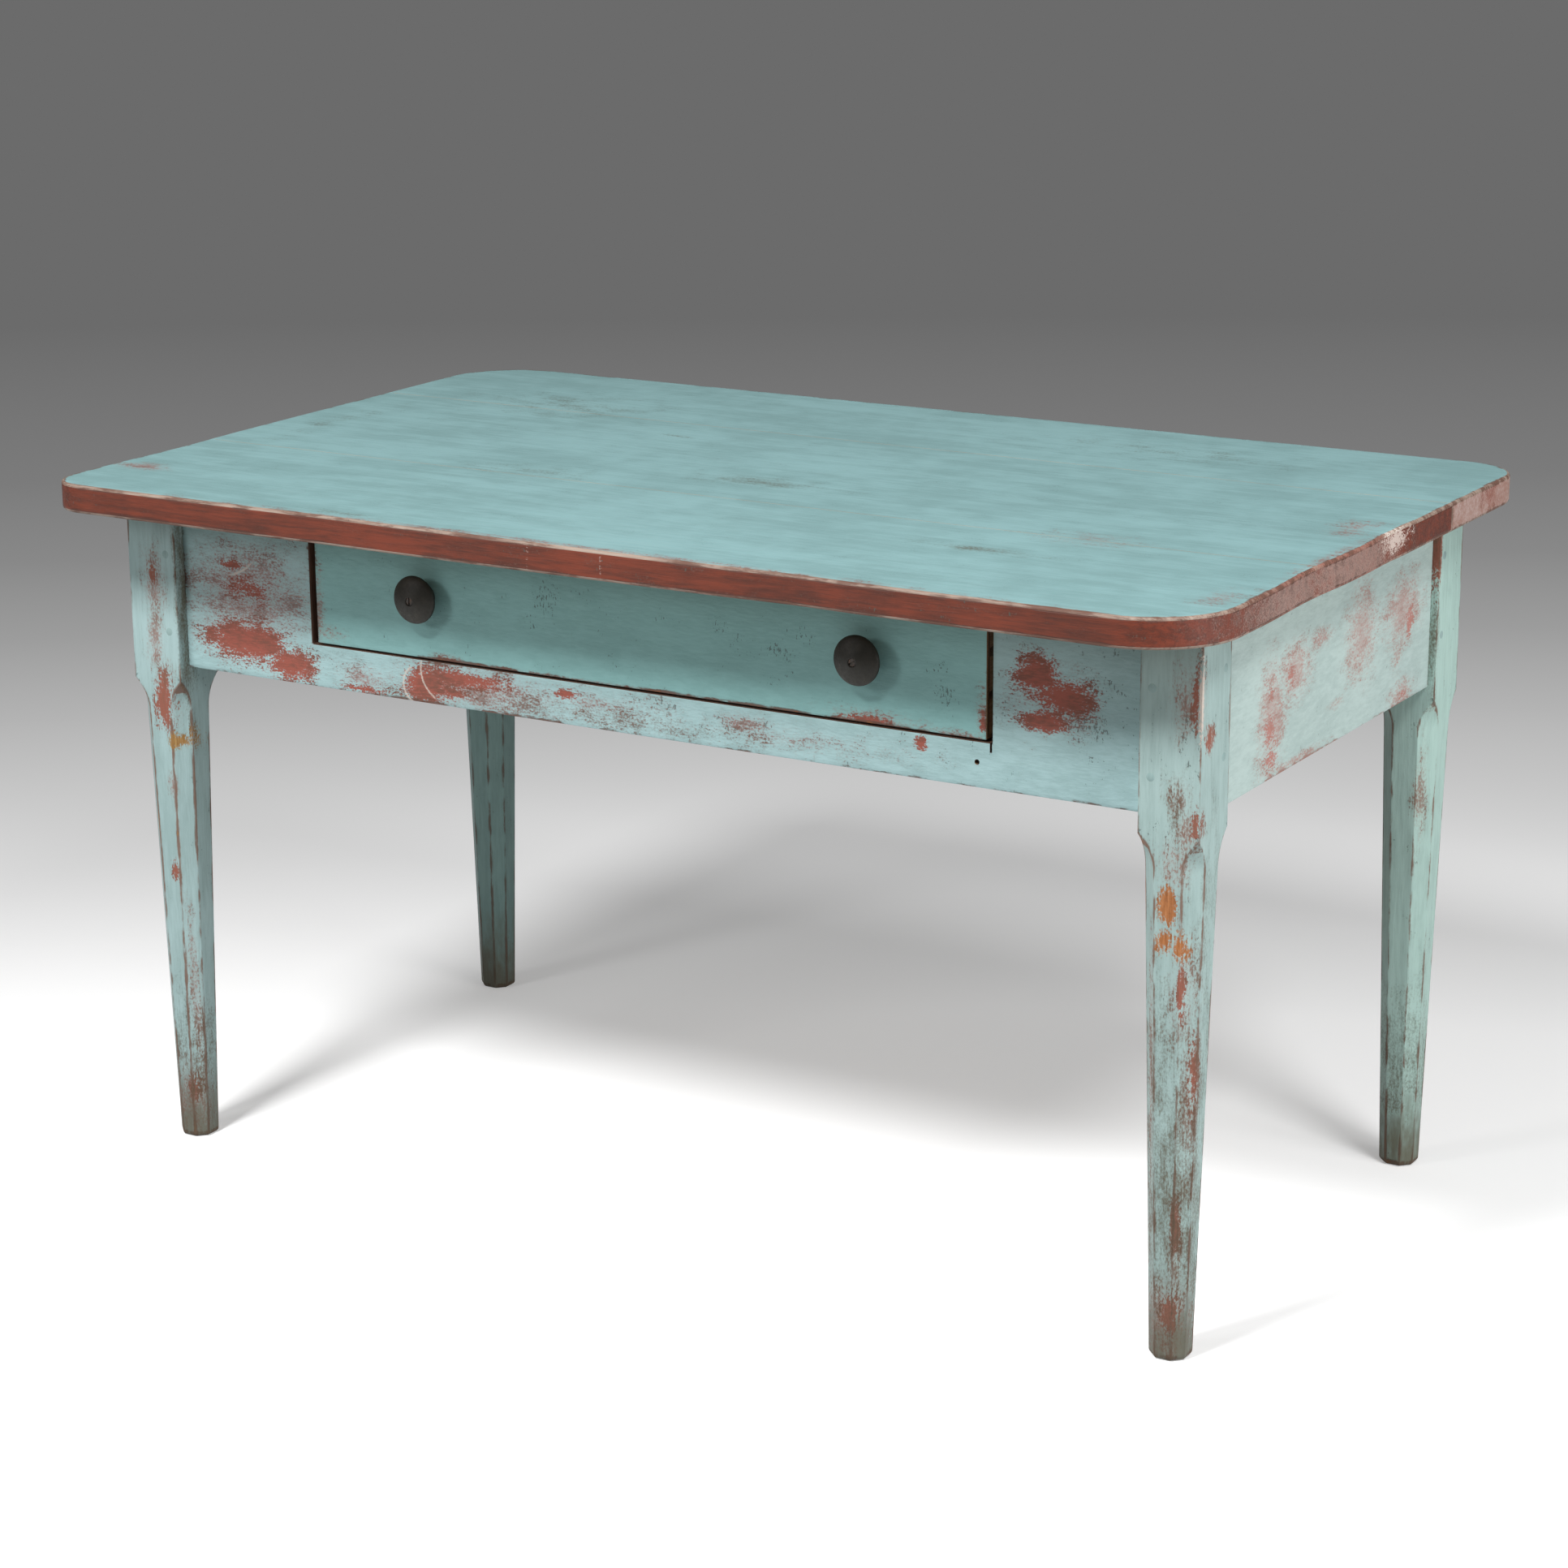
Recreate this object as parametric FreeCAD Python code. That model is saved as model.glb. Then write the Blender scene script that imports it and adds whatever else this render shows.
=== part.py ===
import FreeCAD, Part
import math
import os
from FreeCAD import Vector

# A painted farmhouse work table with one wide dovetailed drawer, in millimetres.
# X runs along the table, the drawer opens towards -Y, and the feet stand on Z = 0.

# Top: three boards joined edge to edge on loose tongues
table_height = 750.0
top_length = 1320.0
top_depth = 815.0
top_thickness = 30.0
top_radius_front_left = 45.0
top_radius_front_right = 88.0
top_radius_back_left = 88.0
top_radius_back_right = 62.0
top_arris_radius = 3.0
front_board_width = 270.0
back_board_width = 215.0
tongue_thickness = 8.0
tongue_width = 24.0
tongue_end_margin = 110.0

# Frame: four legs and four aprons, mortised and pegged
end_overhang = 35.0
side_overhang = 87.5
leg_square = 62.0
foot_size = 38.0
foot_round = 5.0
stop_drop = 15.0
stop_length = 34.0
chamfer_at_stop = 23.0
chamfer_at_foot = 15.0
apron_height = 180.0
apron_thickness = 24.0
side_apron_inset = 15.0
end_apron_inset = 8.0
tenon_thickness = 10.0
end_tenon_length = 40.0
tenon_top_shoulder = 26.0
tenon_bottom_shoulder = 10.0
mortise_wall = 5.0
peg_diameter = 9.0
peg_from_shoulder = 12.0
peg_from_tenon_edge = 30.0
peg_stagger = 14.0
peg_bite = 12.0

# Drawer opening, sawn down from the upper edge of the front apron
# The opening, the drawer and what carries it sit a little right of the table's middle
front_panel_length = 163.0
rail_height = 45.0
drawer_shift = 4.0

# Runners, guides and stops that carry the drawer
runner_height = 36.0
runner_ledge = 22.0
runner_stub_length = 8.0
runner_stub_shoulder = 6.0
guide_width = 22.0
guide_play = 2.0
guide_height = 28.0
stop_height = 25.0
nail_head_diameter = 5.1
nail_sink = 4.0
nail_head_thickness = 1.2
nail_shank_diameter = 3.4
nail_length = 42.0
nail_below_rail_top = 20.0
nail_from_jamb = 16.0

# Buttons and screws that hold the top down
button_width = 36.0
button_length = 40.0
button_thickness = 20.0
button_lip_thickness = 8.0
button_lip_length = 10.0
back_button_spacing = 380.0
screw_diameter = 5.0
screw_head_diameter = 9.6
screw_in_top = 18.0

# Drawer
drawer_rear_space = 55.0
drawer_side_gap = 7.0
drawer_floor_gap = 2.0
drawer_top_gap = 3.0
drawer_recess = 1.0
drawer_front_thickness = 22.0
drawer_side_thickness = 13.0
drawer_back_thickness = 13.0
side_top_drop = 4.0
back_top_drop = 5.0
dovetail_lap = 6.0
dovetail_count = 3
dovetail_pin_tip = 8.0
dovetail_slope = 1.0 / 7.0
groove_rise = 12.0
groove_height = 7.0
groove_depth = 6.0
bottom_thickness = 9.0
bottom_edge_thickness = 5.5
bottom_bevel_width = 45.0
bottom_front_board_depth = 270.0
bottom_nail_count = 5
bottom_nail_end_margin = 60.0
bottom_nail_diameter = 2.2
bottom_nail_head_diameter = 5.0
bottom_nail_head_thickness = 1.0
bottom_nail_length = 34.0

# Turned knobs, each held by a screw through its middle; both sit a little right of the drawer's middle
knob_from_end = 134.5
knob_shift = 4.0
knob_diameter = 51.0
knob_projection = 27.0
knob_dome_rise = 6.0
knob_rim_radius = 4.5
knob_neck_diameter = 21.0
knob_neck_height = 7.0
knob_base_diameter = 28.0
knob_base_thickness = 2.5
knob_bell_sag = 2.6
knob_cove_sag = 1.6
knob_screw_recess_diameter = 8.4
knob_screw_recess_depth = 1.2
knob_screw_head_diameter = 7.6
knob_screw_head_thickness = 2.6
knob_screw_slot_width = 1.4
knob_screw_turn_left = 0.0
knob_screw_turn_right = 60.0
knob_screw_diameter = 4.5
knob_screw_in_front = 17.0

# Clearances
running_gap = 0.3
joint_gap = 0.15
glue_gap = 1.0

# Places worked out from the sizes above
top_underside = table_height - top_thickness
frame_half_length = top_length / 2 - end_overhang
frame_half_depth = top_depth / 2 - side_overhang
apron_bottom = top_underside - apron_height
taper_top = apron_bottom - stop_drop
front_seam = front_board_width - top_depth / 2
back_seam = top_depth / 2 - back_board_width
leg_inner_x = frame_half_length - leg_square
leg_inner_y = frame_half_depth - leg_square
side_apron_outer = frame_half_depth - side_apron_inset
side_apron_inner = side_apron_outer - apron_thickness
end_apron_outer = frame_half_length - end_apron_inset
end_apron_inner = end_apron_outer - apron_thickness
tenon_set_back = (apron_thickness - tenon_thickness) / 2
side_tenon_length = end_apron_inner + tenon_set_back - leg_inner_x - mortise_wall
tenon_low = apron_bottom + tenon_bottom_shoulder
tenon_high = top_underside - tenon_top_shoulder
peg_heights = (tenon_low + peg_from_tenon_edge, tenon_high - peg_from_tenon_edge)
opening_half = leg_inner_x - front_panel_length
rail_top = apron_bottom + rail_height
guide_outer = opening_half + guide_width
drawer_half = opening_half - drawer_side_gap
guide_inner = drawer_half + guide_play
drawer_face = -side_apron_outer + drawer_recess
drawer_front_back = drawer_face + drawer_front_thickness
drawer_rear = side_apron_inner - drawer_rear_space
drawer_back_face = drawer_rear - drawer_back_thickness
drawer_front_low = rail_top + drawer_floor_gap
drawer_front_high = top_underside - drawer_top_gap
side_low = rail_top + running_gap
side_high = drawer_front_high - side_top_drop
side_inner = drawer_half - drawer_side_thickness
groove_low = side_low + groove_rise
groove_high = groove_low + groove_height
bottom_top = groove_high - joint_gap
back_high = side_high - back_top_drop
bottom_seam = drawer_front_back + bottom_front_board_depth
knob_reach = drawer_half - knob_from_end
knob_z = (drawer_front_low + drawer_front_high) / 2

axis_y = Vector(0, 1, 0)
axis_z = Vector(0, 0, 1)


def block(x0, x1, y0, y1, z0, z1):
    low = Vector(min(x0, x1), min(y0, y1), z0)
    return Part.makeBox(abs(x1 - x0), abs(y1 - y0), z1 - z0, low)


def prism(points, direction):
    corners = [Vector(*point) for point in points]
    return Part.Face(Part.makePolygon(corners + corners[:1])).extrude(Vector(*direction))


def revolved(edges, axis_point, axis):
    face = Part.Face(Part.Wire(edges))
    return face.revolve(axis_point, axis, 360)


def sagged_arc(start, end, sag):
    # Arc from start to end in an upright plane along Y, bowed by sag to the outer side of its chord
    chord = end - start
    side = Vector(-chord.y, chord.x, 0).normalize()
    middle = (start + end) * 0.5 - side * sag
    return Part.Arc(start, middle, end).toShape()


def cut_all(solid, tools):
    for tool in tools:
        solid = solid.cut(tool)
    return solid


def shifted(shape):
    # To the drawer's place, right of the middle
    return shape.translated(Vector(drawer_shift, 0, 0))


def save(name, solids):
    shapes = [solid for shape in solids for solid in shape.Solids]
    shape = shapes[0] if len(shapes) == 1 else Part.makeCompound(shapes)
    shape.exportStep(f"parts/{name}.step")
    print(name, len(shapes), round(sum(solid.Volume for solid in shapes)))


# Top boards, loose tongues, buttons and their screws


def top_slab():
    half_x = top_length / 2
    half_y = top_depth / 2
    slab = block(-half_x, half_x, -half_y, half_y, top_underside, table_height)
    corners = [
        (-half_x, -half_y, top_radius_front_left),
        (half_x, -half_y, top_radius_front_right),
        (-half_x, half_y, top_radius_back_left),
        (half_x, half_y, top_radius_back_right),
    ]
    for x, y, radius in corners:
        corner = Vector(x, y, table_height - top_thickness / 2)
        upright = [edge for edge in slab.Edges if edge.CenterOfMass.distanceToPoint(corner) < joint_gap]
        slab = slab.makeFillet(radius, upright)
    rims = [edge for edge in slab.Edges if edge.BoundBox.ZLength < top_thickness / 2]
    return slab.makeFillet(top_arris_radius, rims)


def tongue(seam, gap):
    half_x = top_length / 2 - tongue_end_margin + gap
    reach = tongue_width / 2 + gap
    middle = table_height - top_thickness / 2
    rise = tongue_thickness / 2 + gap
    return block(-half_x, half_x, seam - reach, seam + reach, middle - rise, middle + rise)


def button_places():
    # Each place is the middle of a button's lip on an apron's inner face, and the way into the room
    panel_x = (guide_outer + leg_inner_x) / 2
    front_y = (front_seam - side_apron_inner) / 2
    middle_y = (front_seam + back_seam) / 2
    places = []
    for side in (-1, 1):
        places.append((side * panel_x, -side_apron_inner, 0, 1))
        places.append((side * end_apron_inner, front_y, -side, 0))
        places.append((side * end_apron_inner, middle_y, -side, 0))
    for step in (-1, 0, 1):
        places.append((step * back_button_spacing, side_apron_inner, 0, -1))
    return places


def turned_block(place, along0, along1, half_width, low, high):
    x, y, way_x, way_y = place
    x0 = x + way_x * along0 - abs(way_y) * half_width
    x1 = x + way_x * along1 + abs(way_y) * half_width
    y0 = y + way_y * along0 - abs(way_x) * half_width
    y1 = y + way_y * along1 + abs(way_x) * half_width
    return block(x0, x1, y0, y1, low, high)


def button_low():
    return top_underside - button_thickness


def button(place):
    low = button_low()
    half = button_width / 2
    body = turned_block(place, 0, button_length, half, low, top_underside)
    lip = turned_block(place, -button_lip_length, 0, half, low, low + button_lip_thickness)
    return body.fuse(lip).removeSplitter().cut(top_screw(place, joint_gap))


def button_mortise(place):
    low = button_low() - glue_gap
    high = button_low() + button_lip_thickness
    half = button_width / 2 + glue_gap
    return turned_block(place, -button_lip_length - glue_gap, 0, half, low, high)


def top_screw(place, gap):
    # Countersunk wood screw, its head flush with the underside of the button
    x, y, way_x, way_y = place
    foot = Vector(x + way_x * button_length / 2, y + way_y * button_length / 2, button_low())
    shank = screw_diameter / 2 + gap
    head = screw_head_diameter / 2 + gap
    head_height = (screw_head_diameter - screw_diameter) / 2
    length = button_thickness + screw_in_top + gap
    cone = Part.makeCone(head, shank, head_height, foot, axis_z)
    return cone.fuse(Part.makeCylinder(shank, length, foot, axis_z)).removeSplitter()


def make_top():
    slab = top_slab()
    half_x = top_length / 2
    half_y = top_depth / 2
    screws = [top_screw(place, joint_gap) for place in button_places()]
    limits = {
        "front": (-half_y, front_seam),
        "middle": (front_seam, back_seam),
        "back": (back_seam, half_y),
    }
    grooves = [tongue(front_seam, joint_gap), tongue(back_seam, joint_gap)]
    for name, (low_y, high_y) in limits.items():
        board = slab.common(block(-half_x, half_x, low_y, high_y, top_underside, table_height))
        save(f"top_board_{name}", [cut_all(board, grooves + screws)])
    save("top_tongue_front", [tongue(front_seam, 0)])
    save("top_tongue_back", [tongue(back_seam, 0)])
    save("top_buttons", [button(place) for place in button_places()])
    save("top_button_screws", [top_screw(place, 0) for place in button_places()])


# Tenons and pegs, shared by the aprons, the legs and the pegs themselves


def side_tenon(side_x, side_y, gap=0, end_gap=0):
    # Tenon of a front or back apron into the leg at that corner
    root = side_x * leg_inner_x
    tip = side_x * (leg_inner_x + side_tenon_length + end_gap)
    near = side_y * (side_apron_outer - tenon_set_back + gap)
    far = side_y * (side_apron_inner + tenon_set_back - gap)
    return block(root, tip, near, far, tenon_low - gap, tenon_high + gap)


def end_tenon(side_x, side_y, gap=0, end_gap=0):
    # Tenon of a left or right apron into the leg at that corner
    root = side_y * leg_inner_y
    tip = side_y * (leg_inner_y + end_tenon_length + end_gap)
    near = side_x * (end_apron_outer - tenon_set_back + gap)
    far = side_x * (end_apron_inner + tenon_set_back - gap)
    return block(near, far, root, tip, tenon_low - gap, tenon_high + gap)


def corner_pegs(side_x, side_y, gap=0):
    # Two pegs through each of the two tenons in one leg, flush with the leg's outer faces
    radius = peg_diameter / 2 + gap
    through_tenon = (apron_thickness + tenon_thickness) / 2 + peg_bite + gap
    pegs = []
    for height in peg_heights:
        start = Vector(side_x * (leg_inner_x + peg_from_shoulder), side_y * frame_half_depth, height)
        depth = side_apron_inset + through_tenon
        pegs.append(Part.makeCylinder(radius, depth, start, axis_y * -side_y))
        staggered = height + peg_stagger
        start = Vector(side_x * frame_half_length, side_y * (leg_inner_y + peg_from_shoulder), staggered)
        depth = end_apron_inset + through_tenon
        pegs.append(Part.makeCylinder(radius, depth, start, Vector(-side_x, 0, 0)))
    return pegs


# Legs: a square block above, then an eight-sided taper with a lamb's-tongue stop on each corner


def square_wire(half, height):
    corners = [(-half, -half), (half, -half), (half, half), (-half, half)]
    points = [Vector(x, y, height) for x, y in corners]
    return Part.makePolygon(points + points[:1])


def chamfer_tool():
    # Waste along the corner on the +X axis of a leg turned by an eighth of a circle
    corner_foot = foot_size / math.sqrt(2)
    corner_stop = leg_square / math.sqrt(2)
    flat_foot = corner_foot - chamfer_at_foot / 2
    flat_stop = corner_stop - chamfer_at_stop / 2
    slope = (flat_stop - flat_foot) / taper_top
    curve_start = Vector(flat_stop - slope * stop_length, 0, taper_top - stop_length)
    curve_end = Vector(corner_stop, 0, taper_top)
    # The stop is an arc that leaves the chamfer along its own slope
    chord = curve_end - curve_start
    normal = Vector(1, 0, -slope).normalize()
    radius = chord.Length ** 2 / (2 * chord.dot(normal))
    centre = curve_start + normal * radius
    bisector = (curve_start + curve_end) * 0.5 - centre
    curve_middle = centre + bisector.normalize() * radius
    outside = corner_stop + leg_square
    foot_start = Vector(flat_foot, 0, 0)
    edges = [
        Part.LineSegment(foot_start, curve_start).toShape(),
        Part.Arc(curve_start, curve_middle, curve_end).toShape(),
        Part.LineSegment(curve_end, Vector(outside, 0, taper_top)).toShape(),
        Part.LineSegment(Vector(outside, 0, taper_top), Vector(outside, 0, 0)).toShape(),
        Part.LineSegment(Vector(outside, 0, 0), foot_start).toShape(),
    ]
    profile = Part.Face(Part.Wire(edges))
    profile.translate(Vector(0, -leg_square, 0))
    return profile.extrude(Vector(0, 2 * leg_square, 0))


def plain_leg():
    half = leg_square / 2
    taper = Part.makeLoft([square_wire(foot_size / 2, 0), square_wire(half, taper_top)], True, True)
    leg = taper.fuse(block(-half, half, -half, half, taper_top, top_underside)).removeSplitter()
    waste = chamfer_tool()
    for quarter in range(4):
        corner = waste.copy()
        corner.rotate(Vector(0, 0, 0), axis_z, 45 + 90 * quarter)
        leg = leg.cut(corner)
    foot_edges = [edge for edge in leg.Edges if edge.BoundBox.ZMax < joint_gap]
    return leg.makeFillet(foot_round, foot_edges)


def make_legs():
    form = plain_leg()
    for name_y, side_y in (("front", -1), ("back", 1)):
        for name_x, side_x in (("left", -1), ("right", 1)):
            leg = form.copy()
            centre_x = side_x * (frame_half_length - leg_square / 2)
            centre_y = side_y * (frame_half_depth - leg_square / 2)
            leg.translate(Vector(centre_x, centre_y, 0))
            tools = [tenon(side_x, side_y, joint_gap, glue_gap) for tenon in (side_tenon, end_tenon)]
            leg = cut_all(leg, tools + corner_pegs(side_x, side_y, joint_gap))
            save(f"leg_{name_y}_{name_x}", [leg])


# Aprons and pegs


def side_apron(side_y):
    inner = side_y * side_apron_inner
    outer = side_y * side_apron_outer
    board = block(-leg_inner_x, leg_inner_x, inner, outer, apron_bottom, top_underside)
    for side_x in (-1, 1):
        tenon = side_tenon(side_x, side_y)
        board = board.fuse(cut_all(tenon, corner_pegs(side_x, side_y, joint_gap)))
    return board.removeSplitter()


def end_apron(side_x):
    inner = side_x * end_apron_inner
    outer = side_x * end_apron_outer
    board = block(inner, outer, -leg_inner_y, leg_inner_y, apron_bottom, top_underside)
    for side_y in (-1, 1):
        tenon = end_tenon(side_x, side_y)
        board = board.fuse(cut_all(tenon, corner_pegs(side_x, side_y, joint_gap)))
    return board.removeSplitter()


def make_aprons():
    mortises = [button_mortise(place) for place in button_places()]
    ends = [(side_x, end_y) for side_x in (-1, 1) for end_y in (-1, 1)]
    stubs = [shifted(runner_stub(*end, joint_gap, glue_gap)) for end in ends]
    opening_face = side_apron_outer + leg_square
    opening = block(-opening_half, opening_half, -opening_face, 0, rail_top, top_underside)
    front = side_apron(-1).cut(shifted(opening))
    save("apron_front", [cut_all(front, mortises + stubs + [shifted(nail_hole())])])
    save("apron_back", [cut_all(side_apron(1), mortises + stubs)])
    save("apron_left", [cut_all(end_apron(-1), mortises)])
    save("apron_right", [cut_all(end_apron(1), mortises)])
    save("apron_pegs", [peg for end in ends for peg in corner_pegs(*end)])


# Runners with stub tenons in the aprons, side guides, and stops behind the drawer


def runner_stub(side_x, end_y, gap=0, end_gap=0):
    inner = side_x * (opening_half - runner_ledge + runner_stub_shoulder - gap)
    outer = side_x * (guide_outer - runner_stub_shoulder + gap)
    root = end_y * side_apron_inner
    tip = end_y * (side_apron_inner + runner_stub_length + end_gap)
    low = rail_top - runner_height + runner_stub_shoulder - gap
    high = rail_top - runner_stub_shoulder + gap
    return block(inner, outer, root, tip, low, high)


def runner(side_x):
    inner = side_x * (opening_half - runner_ledge)
    outer = side_x * guide_outer
    low = rail_top - runner_height
    bar = block(inner, outer, -side_apron_inner, side_apron_inner, low, rail_top)
    bar = bar.fuse([runner_stub(side_x, end_y) for end_y in (-1, 1)]).removeSplitter()
    return bar.cut(nail_hole())


def guide(side_x):
    inner = side_x * guide_inner
    outer = side_x * guide_outer
    return block(inner, outer, -side_apron_inner, side_apron_inner, rail_top, rail_top + guide_height)


def drawer_stop(side_x):
    inner = side_x * (opening_half - runner_ledge)
    outer = side_x * guide_inner
    face = drawer_rear + running_gap
    return block(inner, outer, face, side_apron_inner, rail_top, rail_top + stop_height)


def nail_form(gap):
    # One nail sunk through the front apron into the right-hand runner
    x = opening_half - nail_from_jamb
    z = rail_top - nail_below_rail_top
    place = Vector(x, -side_apron_outer + nail_sink, z)
    shank = Part.makeCylinder(nail_shank_diameter / 2 + gap, nail_length + gap, place, axis_y)
    head = Part.makeCylinder(nail_head_diameter / 2 + gap, nail_head_thickness + gap, place, axis_y)
    return shank.fuse(head).removeSplitter()


def nail_hole():
    x = opening_half - nail_from_jamb
    mouth = Vector(x, -side_apron_outer, rail_top - nail_below_rail_top)
    sunk = Part.makeCylinder(nail_head_diameter / 2 + joint_gap, nail_sink, mouth, axis_y)
    return nail_form(joint_gap).fuse(sunk).removeSplitter()


def make_runners():
    for name, side_x in (("left", -1), ("right", 1)):
        save(f"runner_{name}", [shifted(runner(side_x))])
        save(f"guide_{name}", [shifted(guide(side_x))])
        save(f"drawer_stop_{name}", [shifted(drawer_stop(side_x))])
    save("runner_nail", [shifted(nail_form(0))])


# Drawer: half-blind dovetails at the front, through dovetails at the back


def dovetails(side_x, low, high, root_y, tip_y):
    # Tails on the end of a drawer side, widest at their tips
    pitch = (high - low) / dovetail_count
    tip_half = (pitch - dovetail_pin_tip) / 2
    root_half = tip_half - dovetail_slope * abs(tip_y - root_y)
    x = side_x * drawer_half
    tails = []
    for index in range(dovetail_count):
        middle = low + pitch * (index + 0.5)
        outline = [
            (x, root_y, middle - root_half),
            (x, tip_y, middle - tip_half),
            (x, tip_y, middle + tip_half),
            (x, root_y, middle + root_half),
        ]
        tails.append(prism(outline, (-side_x * drawer_side_thickness, 0, 0)))
    return tails


def front_tails(side_x):
    low = max(drawer_front_low, side_low)
    high = min(drawer_front_high, side_high)
    return dovetails(side_x, low, high, drawer_front_back, drawer_face + dovetail_lap)


def rear_tails(side_x):
    return dovetails(side_x, bottom_top, back_high, drawer_back_face, drawer_rear)


def bottom_nails(gap):
    # Nails driven up through the rear board of the bottom into the drawer back
    low = bottom_top - bottom_thickness
    y = (drawer_back_face + drawer_rear) / 2
    reach = side_inner - bottom_nail_end_margin
    nails = []
    for index in range(bottom_nail_count):
        x = -reach + 2 * reach * index / (bottom_nail_count - 1)
        place = Vector(x, y, low)
        shank_radius = bottom_nail_diameter / 2 + gap
        head_radius = bottom_nail_head_diameter / 2 + gap
        shank = Part.makeCylinder(shank_radius, bottom_nail_length + gap, place, axis_z)
        head = Part.makeCylinder(head_radius, bottom_nail_head_thickness + gap, place, axis_z)
        nails.append(shank.fuse(head).removeSplitter())
    return nails


def drawer_front():
    low = drawer_front_low
    high = drawer_front_high
    board = block(-drawer_half, drawer_half, drawer_face, drawer_front_back, low, high)
    groove_back = drawer_front_back - groove_depth
    groove = block(-side_inner, side_inner, groove_back, drawer_front_back, groove_low, groove_high)
    sockets = front_tails(-1) + front_tails(1)
    screw_holes = [knob_screw_shank(side_x, joint_gap) for side_x in (-1, 1)]
    return cut_all(board, [groove] + sockets + screw_holes)


def drawer_side(side_x):
    outer = side_x * drawer_half
    inner = side_x * side_inner
    board = block(inner, outer, drawer_front_back, drawer_rear, side_low, side_high)
    pins = block(inner, outer, drawer_back_face, drawer_rear, bottom_top, back_high)
    board = board.cut(cut_all(pins, rear_tails(side_x)))
    deep = side_x * (side_inner + groove_depth)
    groove = block(inner, deep, drawer_front_back, drawer_rear, groove_low, groove_high)
    return board.cut(groove).fuse(front_tails(side_x)).removeSplitter()


def drawer_back():
    board = block(-drawer_half, drawer_half, drawer_back_face, drawer_rear, bottom_top, back_high)
    return cut_all(board, rear_tails(-1) + rear_tails(1) + bottom_nails(joint_gap))


def bottom_panel():
    # One bevelled panel, sawn into its two boards afterwards
    half = side_inner + groove_depth - glue_gap
    low = bottom_top - bottom_thickness
    edge_low = bottom_top - bottom_edge_thickness
    start = drawer_front_back
    panel = block(-half, half, start, drawer_rear, low, bottom_top)
    lip_start = start - groove_depth + glue_gap
    lip_half = side_inner - joint_gap
    panel = panel.fuse(block(-lip_half, lip_half, lip_start, start, low, bottom_top))
    run = drawer_rear - lip_start
    for side_x in (-1, 1):
        edge = side_x * half
        inside = side_x * (half - bottom_bevel_width)
        wedge = [(edge, lip_start, low), (inside, lip_start, low), (edge, lip_start, edge_low)]
        panel = panel.cut(prism(wedge, (0, run, 0)))
    bevel_end = lip_start + bottom_bevel_width
    wedge = [(-half, lip_start, low), (-half, bevel_end, low), (-half, lip_start, edge_low)]
    panel = panel.cut(prism(wedge, (2 * half, 0, 0)))
    return cut_all(panel, bottom_nails(joint_gap)).removeSplitter()


def make_drawer():
    save("drawer_front", [shifted(drawer_front())])
    save("drawer_side_left", [shifted(drawer_side(-1))])
    save("drawer_side_right", [shifted(drawer_side(1))])
    save("drawer_back", [shifted(drawer_back())])
    panel = bottom_panel()
    low = bottom_top - bottom_thickness
    front_half = block(-drawer_half, drawer_half, drawer_face, bottom_seam, low, bottom_top)
    save("drawer_bottom_front", [shifted(panel.common(front_half))])
    save("drawer_bottom_rear", [shifted(panel.cut(front_half))])
    save("drawer_bottom_nails", [shifted(nail) for nail in bottom_nails(0)])


# Knobs and knob screws


def knob_middle(side_x):
    return knob_shift + side_x * knob_reach


def knob_screw_shank(side_x, gap=0):
    head_face = drawer_face - knob_projection + knob_screw_recess_depth
    length = drawer_face + knob_screw_in_front - head_face
    place = Vector(knob_middle(side_x), head_face, knob_z)
    return Part.makeCylinder(knob_screw_diameter / 2 + gap, length + gap, place, axis_y)


def knob_screw(side_x):
    head_face = drawer_face - knob_projection + knob_screw_recess_depth
    place = Vector(knob_middle(side_x), head_face, knob_z)
    head = Part.makeCylinder(knob_screw_head_diameter / 2, knob_screw_head_thickness, place, axis_y)
    screw = knob_screw_shank(side_x).fuse(head).removeSplitter()
    left = place.x - knob_screw_slot_width / 2
    right = place.x + knob_screw_slot_width / 2
    bed = head_face + knob_screw_head_thickness / 2
    reach = knob_screw_head_diameter
    slot = block(left, right, head_face, bed, knob_z - reach, knob_z + reach)
    slot.rotate(place, axis_y, knob_screw_turn_left if side_x < 0 else knob_screw_turn_right)
    return screw.cut(slot)


def knob(side_x):
    # Turned profile: x is the radius and the height is measured out from the drawer front
    rim = knob_diameter / 2 - knob_rim_radius
    shoulder = knob_projection - knob_dome_rise
    under = shoulder - 2 * knob_rim_radius
    neck = knob_neck_diameter / 2
    base = knob_base_diameter / 2
    dome_radius = (rim ** 2 + knob_dome_rise ** 2) / (2 * knob_dome_rise)
    dome_sag = dome_radius * (1 - math.cos(math.asin(rim / dome_radius) / 2))
    x = knob_middle(side_x)

    def at(radius, height):
        return Vector(x + radius, drawer_face - height, knob_z)

    crown = at(0, knob_projection)
    rim_top = at(rim, shoulder)
    rim_edge = at(rim + knob_rim_radius, shoulder - knob_rim_radius)
    rim_under = at(rim, under)
    waist = at(neck, knob_neck_height)
    base_top = at(base, knob_base_thickness)
    edges = [
        sagged_arc(crown, rim_top, dome_sag),
        Part.Arc(rim_top, rim_edge, rim_under).toShape(),
        sagged_arc(rim_under, waist, -knob_bell_sag),
        sagged_arc(waist, base_top, -knob_cove_sag),
        Part.LineSegment(base_top, at(base, 0)).toShape(),
        Part.LineSegment(at(base, 0), at(0, 0)).toShape(),
        Part.LineSegment(at(0, 0), crown).toShape(),
    ]
    turned = revolved(edges, Vector(x, 0, knob_z), axis_y)
    recess_length = knob_screw_recess_depth + knob_screw_head_thickness
    recess = Part.makeCylinder(knob_screw_recess_diameter / 2, recess_length, crown, axis_y)
    return cut_all(turned, [recess, knob_screw_shank(side_x, joint_gap)])


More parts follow.
